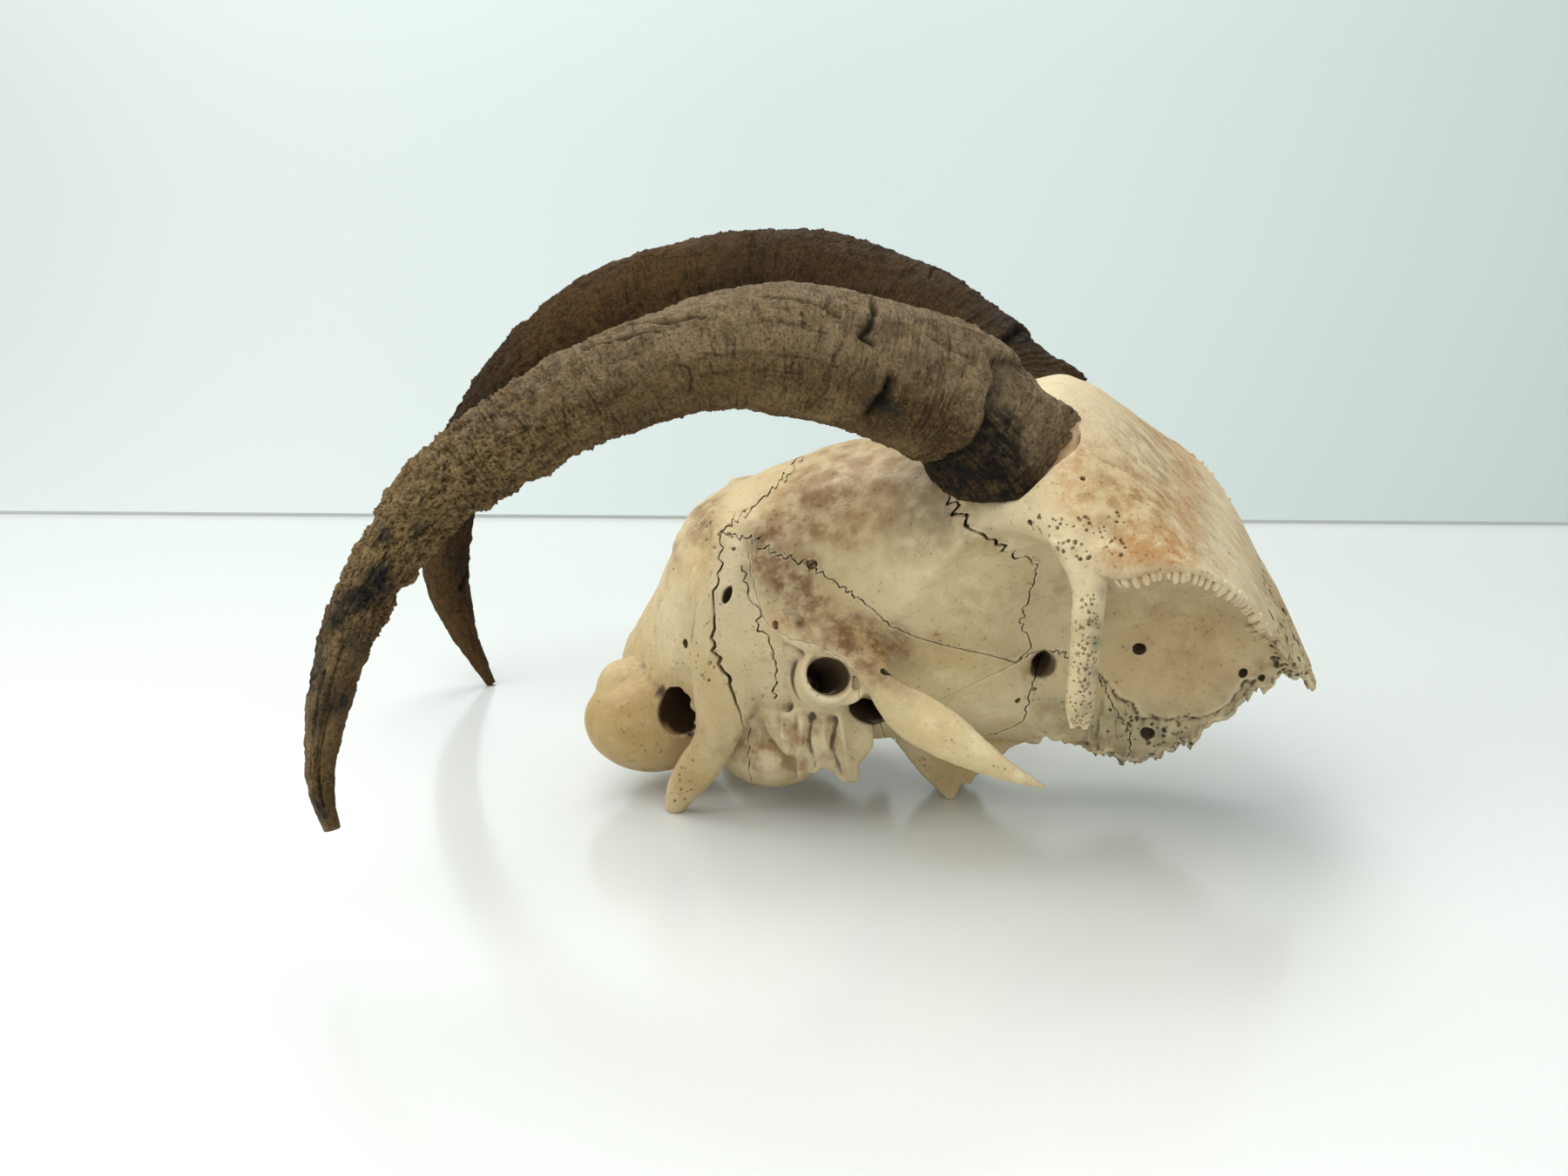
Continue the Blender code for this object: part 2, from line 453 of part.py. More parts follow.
def suture_cutters():
    """The thin gaps that part the cranium into its bones."""
    wide, wall, column, vomer, half_gap = 75.0, WALL_REACH, BASE_COLUMN_HALF, VOMER_HALF, SUTURE_GAP / 2
    cuts = [suture_cut('coronal', CORONAL_SUTURE, -wide, wide),
            suture_cut('squamosal', SQUAMOSAL_SUTURE, -wide, wide),
            suture_cut('lambdoid', LAMBDOID_SUTURE, -wide, wide),
            suture_cut('basioccipital', BASIOCCIPITAL_FRONT, -column - half_gap, column + half_gap),
            suture_cut('vomer', VOMER_SUTURE, -vomer - half_gap, vomer + half_gap),
            suture_cut('orbit_floor', ORBIT_FLOOR_SUTURE, -wall, wall)]
    forehead = list(CORONAL_SUTURE[:-1]) + list(ORBIT_FLOOR_SUTURE) + [(132, 4), (132, 112)]
    cuts.append(side_slab('interfrontal', forehead, -half_gap, half_gap))
    flank = list(SQUAMOSAL_SUTURE) + list(SQUAMA_FRONT[1:]) + [(28.5, -12), (-3, -12)]
    flank += list(reversed(PARACONDYLAR_SUTURE[:-1])) + list(reversed(LAMBDOID_SUTURE[4:-1]))
    palate = list(PTERYGOID_SUTURE) + [(84.5, -6)] + list(reversed(ORBIT_FLOOR_SUTURE[2:-1]))
    for side in (RIGHT, LEFT):
        cuts += [suture_cut('paracondylar', PARACONDYLAR_SUTURE, side * column, side * wall),
                 suture_cut('petrous', PETROUS_FRONT, side * column, side * wide),
                 suture_cut('squama_front', SQUAMA_FRONT, side * column, side * wall),
                 suture_cut('petrous_lower', PETROUS_LOWER_FRONT, side * column, side * wall),
                 side_slab('flank', flank, side * (column - half_gap), side * (column + half_gap))]
        cuts += [suture_cut('pterygoid', PTERYGOID_SUTURE, side * vomer, side * wall),
                 side_slab('palate', palate, side * (vomer - half_gap), side * (vomer + half_gap))]
    return cuts


def loose_parts(thing):
    """Split a mesh object into its separate closed bodies, as lists of points and faces."""
    shape = bmesh.new()
    shape.from_mesh(thing.data)
    shape.verts.index_update()
    unseen = set(shape.verts)
    parts = []
    while unseen:
        queue = [unseen.pop()]
        members = {queue[0]}
        while queue:
            for edge in queue.pop().link_edges:
                for vert in edge.verts:
                    if vert in unseen:
                        unseen.discard(vert)
                        members.add(vert)
                        queue.append(vert)
        ordered = sorted(members, key=lambda v: v.index)
        order = {v: i for i, v in enumerate(ordered)}
        faces = [[order[v] for v in f.verts] for f in shape.faces if f.verts[0] in members]
        parts.append(([v.co / MM for v in ordered], faces))
    shape.free()
    return parts


def volume_of(part):
    points, faces = part
    total = 0.0
    for face in faces:
        for k in range(1, len(face) - 1):
            total += points[face[0]].dot(points[face[k]].cross(points[face[k + 1]])) / 6
    return total


def holds(part, seed):
    """Whether a closed body holds a point, by counting crossings along one ray."""
    tree = BVHTree.FromPolygons(part[0], part[1])
    direction = Vector((0.0313, 0.9821, 0.1857)).normalized()
    place, crossings = Vector(seed), 0
    while True:
        hit, _, _, _ = tree.ray_cast(place, direction)
        if hit is None:
            return crossings % 2 == 1
        crossings += 1
        place = hit + direction * 1e-4


def matt(name, colour, roughness):
    finish = bpy.data.materials.new(name)
    finish.use_nodes = True
    shader = finish.node_tree.nodes['Principled BSDF']
    shader.inputs['Base Color'].default_value = colour
    shader.inputs['Roughness'].default_value = roughness
    shader.inputs['Metallic'].default_value = 0.0
    return finish


def keep_largest(thing):
    """Leave only the largest closed body of a piece."""
    best = max(loose_parts(thing), key=volume_of)
    replacement = mesh_object(thing.name + '_kept', best[0], best[1])
    thing.data = replacement.data
    bpy.data.objects.remove(replacement, do_unlink=True)


def table_slab():
    """Everything below the table top, in the skull's own frame."""
    slab = mesh_object('below_table', [(x, y, z) for x in (-200, 200) for y in (-200, 200) for z in (-60, 0)],
                       [(0, 1, 3, 2), (4, 5, 7, 6), (0, 1, 5, 4), (2, 3, 7, 6), (0, 2, 6, 4), (1, 3, 7, 5)])
    slab.data.transform(Matrix.Scale(MM, 4).inverted())
    slab.data.transform(rest_matrix().inverted() @ Matrix.Translation((-ORIGIN_U, -ORIGIN_V, 0)))
    slab.data.transform(Matrix.Scale(MM, 4))
    return slab


def rest_matrix():
    """From skull millimetres to the part's own millimetres, as the skull lies on the table."""
    roll = Matrix.Rotation(math.radians(ROLL_DEGREES), 4, 'X')
    return Matrix.Translation((-ORIGIN_U, -ORIGIN_V, REST_LIFT)) @ roll


def horn_sheath(name, stations, side):
    """A worn, ringed horn sheath, solid, from its seat on the frontal bone to its tip."""
    centres = through([s[:3] for s in stations], HORN_RINGS)
    share = [0.0]
    for near, far in zip(stations, stations[1:]):
        share.append(share[-1] + (Vector(far[:3]) - Vector(near[:3])).length)
    total = share[-1]
    depth = tuple((s / total, station[3]) for s, station in zip(share, stations))
    thickness = tuple((s / total, station[4]) for s, station in zip(share, stations))
    seat = Vector((HORN_BASE_TILT.x, side * HORN_BASE_TILT.y, HORN_BASE_TILT.z)).normalized()
    rings = []
    for k, centre in enumerate(centres):
        t = k / (HORN_RINGS - 1)
        run = (centres[min(k + 1, HORN_RINGS - 1)] - centres[max(k - 1, 0)]).normalized()
        run = seat.lerp(run, min(1.0, t / 0.10)).normalized()
        outward = centre - Vector((HORN_ARC_CENTRE[0], centre.y, HORN_ARC_CENTRE[1]))
        outward = (outward - run * outward.dot(run)).normalized()
        beside = run.cross(outward)
        worn = 1 + RING_DEPTH * math.sin(t * 2 * math.pi * 17) * min(1, 8 * t) * (1 - t)
        for place, bite in DEEP_GROOVES:
            worn -= bite * math.exp(-((t - place) / 0.009) ** 2)
        if k == 0:
            centre = centre + seat * SUTURE_GAP
        ring = []
        for j in range(HORN_SIDES):
            angle = 2 * math.pi * j / HORN_SIDES
            keel = 1 + 0.05 * math.cos(angle) ** 3
            ring.append(centre + worn * keel * along(depth, t) * math.cos(angle) * outward
                        + worn * along(thickness, t) * math.sin(angle) * beside)
        rings.append(ring)
    return loft(name, rings)


def seat_clearance(side):
    """A block that keeps the base of a horn sheath clear of the bone it covers."""
    normal = Vector((HORN_BASE_TILT.x, side * HORN_BASE_TILT.y, HORN_BASE_TILT.z)).normalized()
    across = (Vector((1, 0, 0)) - normal * normal.x).normalized()
    up = normal.cross(across)
    top = Vector((RIGHT_HORN[0][0], side * 26.0, RIGHT_HORN[0][2]))
    return tapered_bar('seat_clearance', [
        (top, across * SEAT_RADIUS, up * SEAT_RADIUS),
        (top + normal * 40, across * SEAT_RADIUS, up * SEAT_RADIUS)], 18)


def ethmoid_forms():
    """The thin midline plate and the scrolls at the back of the nasal hollow."""
    forms = [side_slab('nasal_septum', ((62, 44), (70, 50), (80, 54), (90, 55), (100, 51), (108, 44),
                                        (112, 40), (108, 37.5), (102, 33), (94, 28), (86, 23.5),
                                        (74, 21.5), (64, 22)), -0.8, 0.8)]
    for side in (RIGHT, LEFT):
        for rank, height in enumerate((28, 35, 42, 48)):
            forms.append(egg('scroll', (74 + 1.5 * rank, side * (4.2 + 0.5 * rank), height),
                             (10 + rank, 4.0, 3.1), (0, -14, side * 6), 10, 7))
    return forms


BONE_SEEDS = {'frontal_right': ((90, -6, 78), PALE_BONE), 'frontal_left': ((90, 6, 78), PALE_BONE),
              'parietal': ((12, 1, 76), FRESH_BONE), 'occipital': ((-14, 5, 50), FRESH_BONE),
              'temporal_squama_right': ((20, -27, 52), STAINED_BONE),
              'temporal_squama_left': ((20, 27, 52), STAINED_BONE),
              'temporal_petrous_right': ((-4, -27, 50), PALE_BONE),
              'temporal_petrous_left': ((-4, 27, 50), PALE_BONE),
              'sphenoid': ((30, 2, 35), WARM_BONE),
              'palatine_right': ((58, -12, 18.5), GREY_BONE), 'palatine_left': ((58, 12, 18.5), GREY_BONE),
              'vomer': ((62, 1, 28), GREY_BONE)}


def build_skull():
    clear_scene()
    pose = bpy.data.objects.new('rest_pose', None)
    bpy.context.scene.collection.objects.link(pose)
    pose.matrix_world = Matrix.Scale(MM, 4) @ rest_matrix() @ Matrix.Scale(1 / MM, 4)

    body = cranium_body()
    boolean(body, [seat_clearance(RIGHT), seat_clearance(LEFT)], 'DIFFERENCE')
    for cutter in opening_cutters():
        boolean(body, [cutter], 'DIFFERENCE')
    boolean(body, [orbital_bar(RIGHT), orbital_bar(LEFT)], 'UNION')
    for cutter in (torn_edge_cutter(), table_slab()):
        boolean(body, [cutter], 'DIFFERENCE')
    keep_largest(body)
    for cutter in suture_cutters():
        boolean(body, [cutter], 'DIFFERENCE')
    parts = [p for p in loose_parts(body) if volume_of(p) > 8]
    bpy.data.objects.remove(body, do_unlink=True)

    pieces = {}
    for name, (seed, colour) in BONE_SEEDS.items():
        held = [p for p in parts if holds(p, seed)]
        if held:
            pieces[name] = mesh_object(name, held[0][0], held[0][1])
            pieces[name].data.materials.append(matt(name + '_bone', colour, 0.6))
    for form in ethmoid_forms():
        boolean(form, [nasal_hollow(ETHMOID_CLEARANCE, ETHMOID_ROOT)], 'INTERSECT')
        boolean(pieces['vomer'], [form], 'UNION')
    keep_largest(pieces['vomer'])

    for name, stations, side in (('horn_right', RIGHT_HORN, RIGHT), ('horn_left', LEFT_HORN, LEFT)):
        sheath = horn_sheath(name, stations, side)
        boolean(sheath, [table_slab()], 'DIFFERENCE')
        keep_largest(sheath)
        sheath.data.materials.append(matt(name + '_sheath', HORN_BROWN if side == RIGHT else HORN_DARK, 0.7))
        pieces[name] = sheath

    for piece in pieces.values():
        piece.parent = pose
        piece.data.shade_smooth()
        piece.data.set_sharp_from_angle(angle=math.radians(40))


build_skull()
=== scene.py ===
"""A goat's cranium with both horns, resting on a pale table, without its face or lower jaw."""

import json
import math
import random

import bpy
import numpy as np
from mathutils import Matrix, Vector
from mathutils.bvhtree import BVHTree

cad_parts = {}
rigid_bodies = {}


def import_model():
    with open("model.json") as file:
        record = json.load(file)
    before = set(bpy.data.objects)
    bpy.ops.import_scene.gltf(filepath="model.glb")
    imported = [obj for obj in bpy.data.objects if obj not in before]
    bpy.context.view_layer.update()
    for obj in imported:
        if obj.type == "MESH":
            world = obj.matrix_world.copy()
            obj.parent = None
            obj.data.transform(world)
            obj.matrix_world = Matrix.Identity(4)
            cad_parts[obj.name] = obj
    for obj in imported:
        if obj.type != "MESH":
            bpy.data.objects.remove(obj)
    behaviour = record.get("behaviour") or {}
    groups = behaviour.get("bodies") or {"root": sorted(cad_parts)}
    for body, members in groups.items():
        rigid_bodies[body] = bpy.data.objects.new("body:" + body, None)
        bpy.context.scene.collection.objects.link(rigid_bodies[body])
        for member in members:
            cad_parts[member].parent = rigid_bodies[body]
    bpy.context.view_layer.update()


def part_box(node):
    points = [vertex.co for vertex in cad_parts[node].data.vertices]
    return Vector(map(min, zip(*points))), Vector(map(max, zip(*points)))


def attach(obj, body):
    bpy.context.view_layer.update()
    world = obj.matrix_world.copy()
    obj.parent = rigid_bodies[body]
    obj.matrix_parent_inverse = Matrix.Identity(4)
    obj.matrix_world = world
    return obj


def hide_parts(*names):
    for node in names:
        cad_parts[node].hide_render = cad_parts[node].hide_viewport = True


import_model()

# How the skull lies.
# It is measured in millimetres, with U forward, V to the animal's left and W up. It lies
# rolled a little onto its right side.
ORIGIN_U, ORIGIN_V, REST_LIFT, ROLL_DEGREES = 4.822, -18.488, 2.354, 4.5
RIGHT, LEFT = -1, 1
rest_pose = (Matrix.Scale(0.001, 4) @ Matrix.Translation((-ORIGIN_U, -ORIGIN_V, REST_LIFT))
             @ Matrix.Rotation(math.radians(ROLL_DEGREES), 4, 'X'))


def soft_noise(points, size, seed=0):
    """Smooth random values from -1 to 1 in space, with features of a given size."""
    grid = np.asarray(points, float) / size + seed * 7.31
    cell = np.floor(grid).astype(np.int64)
    part = grid - cell
    part = part ** 3 * (part * (part * 6 - 15) + 10)
    total = np.zeros(len(grid))
    for corner in np.ndindex(2, 2, 2):
        near = cell + np.array(corner)
        mixed = near[:, 0] * 73856093 ^ near[:, 1] * 19349663 ^ near[:, 2] * 83492791 ^ seed * 6971
        mixed = (mixed ^ mixed >> 13) * 1274126177 & 0x7FFFFFFF
        mixed = (mixed ^ mixed >> 15) & 0xFFFF
        share = np.prod(np.where(corner, part, 1 - part), axis=1)
        total += share * (mixed / 32767.5 - 1)
    return total


def rough_noise(points, size, seed=0, octaves=3):
    """Soft noise in several sizes, each half as large and half as strong as the last."""
    total = sum(soft_noise(points, size / 2 ** k, seed + k) / 2 ** k for k in range(octaves))
    return total / sum(0.5 ** k for k in range(octaves))


def step_up(low, high, value):
    """Rise smoothly from 0 at low to 1 at high, where low may be the larger one."""
    t = np.clip((value - low) / (high - low), 0, 1)
    return t * t * (3 - 2 * t)


# The mass of the bone.
# Braincase, forehead and orbits grew as one shell, so they are skinned as one body. The
# processes that stand out from it are fused on with soft roots. Profiles are (U, size).
CROWN_HEIGHT = ((-41, 27), (-37, 34.5), (-32, 44), (-28, 51), (-25, 58.5), (-22.3, 64.8), (-16.5, 69),
                (-10, 72.2), (-4, 75.6), (5, 79), (13, 82.2), (22, 84.2), (32, 87.5), (44, 92.5),
                (56, 97.2), (64, 98.8), (70, 97), (79.5, 90.2), (90, 80.4), (98, 71.9), (104, 66.2),
                (109.5, 60.0), (113.5, 53.4), (118, 47.2), (122, 39.8), (126, 31.5))
RIM_HALF_WIDTH = ((-41, 8), (-36, 11.5), (-30, 17), (-24, 23), (-16, 30), (-9, 34.5), (0, 36), (10, 36),
                  (20, 35.5), (30, 35), (40, 36.5), (50, 40), (58, 43.5), (66, 50.5), (74, 54.5),
                  (80, 54.5), (86, 53.5), (92, 52), (98, 49.5), (103, 46), (107, 42), (111, 36.5),
                  (117, 26.5), (122, 17), (126, 9))
RIM_HEIGHT = ((-41, 20), (-30, 28), (-24, 34), (-16, 40), (-9, 44), (0, 45), (10, 46), (20, 48), (30, 53),
              (40, 66), (50, 76), (58, 78), (66, 76.5), (74, 71.5), (80, 71), (86, 72.4), (92, 72),
              (98, 69.6), (103, 65.6), (107, 60.6), (111, 54), (117, 44), (122, 36.5), (126, 30.8))
WAIST_HALF_WIDTH = ((-41, 7.5), (-30, 15), (-24, 20), (-16, 26), (-9, 30), (0, 31), (20, 31), (40, 32),
                    (50, 30.5), (58, 27.5), (66, 24), (74, 22), (80, 21), (92, 21), (103, 24), (111, 23.5),
                    (117, 19.5), (122, 13), (126, 7))
WAIST_HEIGHT = ((-41, 14), (-30, 18), (-16, 25), (0, 28), (20, 31), (30, 35), (40, 42), (50, 47), (66, 48),
                (80, 45), (92, 43), (103, 43), (111, 41), (117, 37.5), (126, 29.7))
BASE_HALF_WIDTH = ((-41, 5), (-30, 10), (-20, 14), (-9, 17), (20, 16), (50, 17), (66, 17.5), (86, 18.5),
                   (103, 19.5), (111, 18), (117, 14.5), (122, 9.5), (126, 5))
BASE_SIDE_HEIGHT = ((-41, 11.8), (-20, 12.5), (0, 14), (20, 15), (40, 17.5), (58, 18), (70, 15), (80, 12),
                    (92, 14), (103, 21), (111, 28), (118, 31), (126, 29))
BASE_HEIGHT = ((-41, 11), (-20, 11), (0, 11), (20, 13), (40, 15.5), (58, 15), (70, 12), (80, 9.5),
               (92, 11.5), (103, 19.5), (111, 27), (118, 30.5), (126, 28.4))
SHELF_ANGLE = ((-41, 0.75), (30, 0.75), (45, 0.5), (60, 0.28), (100, 0.28), (126, 0.5))
TYMPANIC_PLATE = ((8.7, 32.3), (7.8, 26), (8.1, 19.3), (9.4, 10.2), (10.5, 12.9), (11.7, 13.4),
                  (13.5, 12.9), (14.3, 14.5), (15.5, 14.8), (16.7, 13.7), (18.2, 12.7), (19.6, 11.1),
                  (21.4, 11.4), (23.2, 11.1), (23.6, 13.8), (23.0, 17.7), (21.2, 26.6), (20.2, 33.0))
TYMPANIC_LAPPET = ((21.9, 30), (22.7, 16.7), (24.5, 16.6), (25.5, 18.7), (26.5, 19.2), (26.9, 20.7),
                   (25.6, 30))
TYMPANIC_FOLDS = (((10.7, 30), (9.3, 11.6)), ((14.8, 30.5), (16.5, 14.4)), ((18.8, 31), (21.6, 11.8)))
TYMPANIC_CHIP = ((4.9, 29.5), (8.1, 29), (8.0, 25.4), (8.3, 21.8), (7.1, 21.3), (5.4, 21.9), (5.2, 25.8))
PTERYGOID_PLATE = ((27, 19), (28, 14), (30.8, 10.4), (33.5, 7), (36.1, 3.9), (39.9, 0.4), (41.4, -1.9),
                   (43.4, -1.9), (44.4, 0), (45.1, 2.7), (46.4, 2.5), (48.1, 2.4), (48.0, 5.1), (50.1, 5.5),
                   (49.6, 7.5), (52.7, 9.6), (54.6, 10.4), (56.7, 13.2), (59.4, 14.0), (61, 16.2),
                   (64.9, 18.2), (66, 22), (45, 24))
FIRST_STATION, LAST_STATION, STATION_COUNT, HALF_RING = -41.0, 126.0, 220, 72
HORN_SEAT, HORN_TILT = (53, 26.0, 88.9), (-0.20, 0.42, 0.885)
BONE_VOXEL, BONE_SOFTENING = 0.6, 10


def along(profile, station):
    """Read a size profile at a station, as a smooth curve that never overshoots its points."""
    count = len(profile)
    if station <= profile[0][0]:
        return profile[0][1]
    if station >= profile[-1][0]:
        return profile[-1][1]
    place = next(i for i in range(count - 1) if profile[i][0] <= station <= profile[i + 1][0])

    def slope(index):
        if index < 0 or index >= count - 1:
            return None
        near, far = profile[index], profile[index + 1]
        return (far[1] - near[1]) / (far[0] - near[0])

    def tangent(before, after):
        if before is None or after is None:
            return before if after is None else after
        return 0.0 if before * after <= 0 else 2 * before * after / (before + after)

    (x0, y0), (x1, y1) = profile[place], profile[place + 1]
    start, end = tangent(slope(place - 1), slope(place)), tangent(slope(place), slope(place + 1))
    width = x1 - x0
    t = (station - x0) / width
    return ((2 * t ** 3 - 3 * t ** 2 + 1) * y0 + (t ** 3 - 2 * t ** 2 + t) * width * start
            + (-2 * t ** 3 + 3 * t ** 2) * y1 + (t ** 3 - t ** 2) * width * end)


def through(points, count, even=True):
    """Points on a smooth curve through rows of numbers, evenly along its first three."""
    rows = np.array(points, float)
    padded = np.vstack([2 * rows[0] - rows[1], rows, 2 * rows[-1] - rows[-2]])
    t = np.linspace(0, 1, 24, endpoint=False)[:, None]
    fine = [0.5 * (2 * b + (c - a) * t + (2 * a - 5 * b + 4 * c - d) * t * t
                   + (3 * b - a - 3 * c + d) * t ** 3)
            for a, b, c, d in zip(padded, padded[1:], padded[2:], padded[3:])]
    fine = np.vstack(fine + [rows[-1:]])
    if even:
        steps = np.linalg.norm(np.diff(fine[:, :3], axis=0), axis=1)
        reach = np.concatenate([[0], np.cumsum(steps)])
    else:
        reach = np.arange(len(fine), dtype=float)
    wanted = np.linspace(0, reach[-1], count)
    return np.column_stack([np.interp(wanted, reach, fine[:, k]) for k in range(fine.shape[1])])


def skin(rings):
    """Skin a row of rings, all of one count of points, and close both ends with a fan."""
    rings = np.asarray(rings, float)
    rows, sides = rings.shape[:2]
    k = np.arange(sides)
    after = (k + 1) % sides
    faces = []
    for row in range(rows - 1):
        faces += np.column_stack([row * sides + k, row * sides + after,
                                  (row + 1) * sides + after, (row + 1) * sides + k]).tolist()
    points = np.vstack([rings.reshape(-1, 3), rings[0].mean(0), rings[-1].mean(0)])
    for row, middle in ((0, rows * sides), (rows - 1, rows * sides + 1)):
        ends = [(row * sides + after, row * sides + k), (row * sides + k, row * sides + after)][row > 0]
        faces += [[int(a), int(b), middle] for a, b in zip(*ends)]
    return outward(points, faces)


def outward(points, faces):
    """Turn all faces of a closed body outward."""
    points = np.asarray(points, float)
    fans = np.array([(f[0], f[k], f[k + 1]) for f in faces for k in range(1, len(f) - 1)])
    a, b, c = points[fans[:, 0]], points[fans[:, 1]], points[fans[:, 2]]
    total = np.einsum('ij,ij->', a, np.cross(b, c))
    return points, faces if total >= 0 else [face[::-1] for face in faces]


def slab(outline, near_v, far_v):
    """A plate whose outline is drawn in the side view, between two distances from the midline."""
    count = len(outline)
    points = [(u, near_v, w) for u, w in outline] + [(u, far_v, w) for u, w in outline]
    faces = [list(range(count)), list(range(2 * count - 1, count - 1, -1))]
    faces += [[(k + 1) % count, k, count + k, count + (k + 1) % count] for k in range(count)]
    return outward(points, faces)


def ball(centre, half_axes, tilt=(0, 0, 0), sides=48, rows=28):
    """An ellipsoid about a centre, turned by tilt degrees about U, V and W."""
    turn = (Matrix.Rotation(math.radians(tilt[2]), 3, 'Z') @ Matrix.Rotation(math.radians(tilt[1]), 3, 'Y')
            @ Matrix.Rotation(math.radians(tilt[0]), 3, 'X'))
    polar = np.linspace(0, math.pi, rows + 1)[1:-1]
    turns = np.linspace(0, 2 * math.pi, sides, endpoint=False)
    rings = np.array([[(math.sin(p) * math.cos(a), math.sin(p) * math.sin(a), math.cos(p)) for a in turns]
                      for p in polar])
    points, faces = skin(rings)
    points[-2:] = ((0, 0, 1), (0, 0, -1))
    placed = points * np.array(half_axes) @ np.array(turn).T + np.array(centre)
    return outward(placed, faces)


def bar(stations, sides=32, rows=44):
    """A bar through stations of (centre, half-axis vector, half-axis vector), drawn smoothly."""
    flat = np.array([[*c, *a, *b] for c, a, b in stations], float)
    fine = through(flat, rows, even=False)
    turns = np.linspace(0, 2 * math.pi, sides, endpoint=False)
    return skin([[row[:3] + row[3:6] * math.cos(t) + row[6:9] * math.sin(t) for t in turns] for row in fine])


def joined(bodies):
    """Several bodies as one list of points and one list of faces."""
    points, faces, start = [], [], 0
    for body_points, body_faces in bodies:
        points.append(body_points)
        faces += [[i + start for i in face] for face in body_faces]
        start += len(body_points)
    return np.vstack(points), faces


def make_object(name, body):
    """An object from a body of points and faces."""
    mesh = bpy.data.meshes.new(name)
    mesh.from_pydata(body[0].tolist(), [], body[1])
    thing = bpy.data.objects.new(name, mesh)
    bpy.context.scene.collection.objects.link(thing)
    return thing


def apply_modifiers(thing):
    """Replace an object's mesh by what its modifiers make of it."""
    result = bpy.data.meshes.new_from_object(thing.evaluated_get(bpy.context.evaluated_depsgraph_get()))
    thing.modifiers.clear()
    thing.data = result


def fuse(thing, voxel, rounds):
    """Melt overlapping bodies into one skin and soften its creases."""
    melt = thing.modifiers.new('melt', 'REMESH')
    melt.mode = 'VOXEL'
    melt.voxel_size = voxel
    if rounds:
        soften = thing.modifiers.new('soften', 'SMOOTH')
        soften.factor = 0.5
        soften.iterations = rounds
    apply_modifiers(thing)


def carve(thing, cutters, operation='DIFFERENCE'):
    """Cut bodies from an object, or add them to it."""
    group = bpy.data.collections.new('operands')
    bpy.context.scene.collection.children.link(group)
    for rank, cutter in enumerate(cutters):
        tool = make_object('operand_%d' % rank, cutter)
        bpy.context.scene.collection.objects.unlink(tool)
        group.objects.link(tool)
    step = thing.modifiers.new('step', 'BOOLEAN')
    step.operand_type = 'COLLECTION'
    step.collection = group
    step.operation = operation
    step.solver = 'MANIFOLD'
    apply_modifiers(thing)
    for tool in list(group.objects):
        bpy.data.meshes.remove(tool.data)
    bpy.data.collections.remove(group)


def cranium_ring(u):
    """One upright section through the skull roof, widest rim, waist and base."""
    crown = along(CROWN_HEIGHT, u)
    rim, rim_w = along(RIM_HALF_WIDTH, u), along(RIM_HEIGHT, u)
    waist, waist_w = along(WAIST_HALF_WIDTH, u), along(WAIST_HEIGHT, u)
    base, base_w = along(BASE_HALF_WIDTH, u), along(BASE_SIDE_HEIGHT, u)
    under = along(SHELF_ANGLE, u)
    half = [(0, crown), (0.55 * rim, crown - 0.165 * (crown - rim_w)),
            (0.87 * rim, crown - 0.51 * (crown - rim_w)), (rim, rim_w),
            (waist + under * (rim - waist), rim_w - 0.28 * (rim_w - waist_w)), (waist, waist_w),
            (0.5 * (waist + base) + 0.12 * waist, 0.5 * (waist_w + base_w)),
            (base, base_w), (0, along(BASE_HEIGHT, u))]
    mirrored = [(-half[1][0], half[1][1])] + half + [(-half[-2][0], half[-2][1])]
    curve = through([(v, w, 0) for v, w in mirrored], 400)
    curve = curve[curve[:, 0] >= -1e-6]
    wanted = np.linspace(0, len(curve) - 1, HALF_RING)
    picked = np.column_stack([np.interp(wanted, np.arange(len(curve)), curve[:, k]) for k in range(3)])
    picked[0, 0] = picked[-1, 0] = 0
    right = [(u, v, w) for v, w, _ in picked]
    return right + [(u, -v, w) for _, v, w in right[-2:0:-1]]


def mirrored(side, triples):
    """Triples (U, V, W) that are given for the animal's left, on one of its sides."""
    return [tuple(np.multiply(triple, (1, side, 1))) for triple in triples]


def side_ball(side, centre, half_axes, tilt=(0, 0, 0), sides=48, rows=28):
    """A ball given for the animal's left, on one of its sides."""
    turned = (side * tilt[0], tilt[1], side * tilt[2])
    return ball(mirrored(side, [centre])[0], half_axes, turned, sides, rows)


def side_bar(side, stations, sides=32, rows=44):
    """A bar given for the animal's left, on one of its sides."""
    return bar([mirrored(side, station) for station in stations], sides, rows)


def seat_axes(side):
    """The middle of a horn's seat, the way the horn leaves it and two directions across."""
    top, normal = [Vector(triple) for triple in mirrored(side, (HORN_SEAT, HORN_TILT))]
    normal.normalize()
    across = (Vector((1, 0, 0)) - normal * normal.x).normalized()
    return top, normal, across, normal.cross(across)


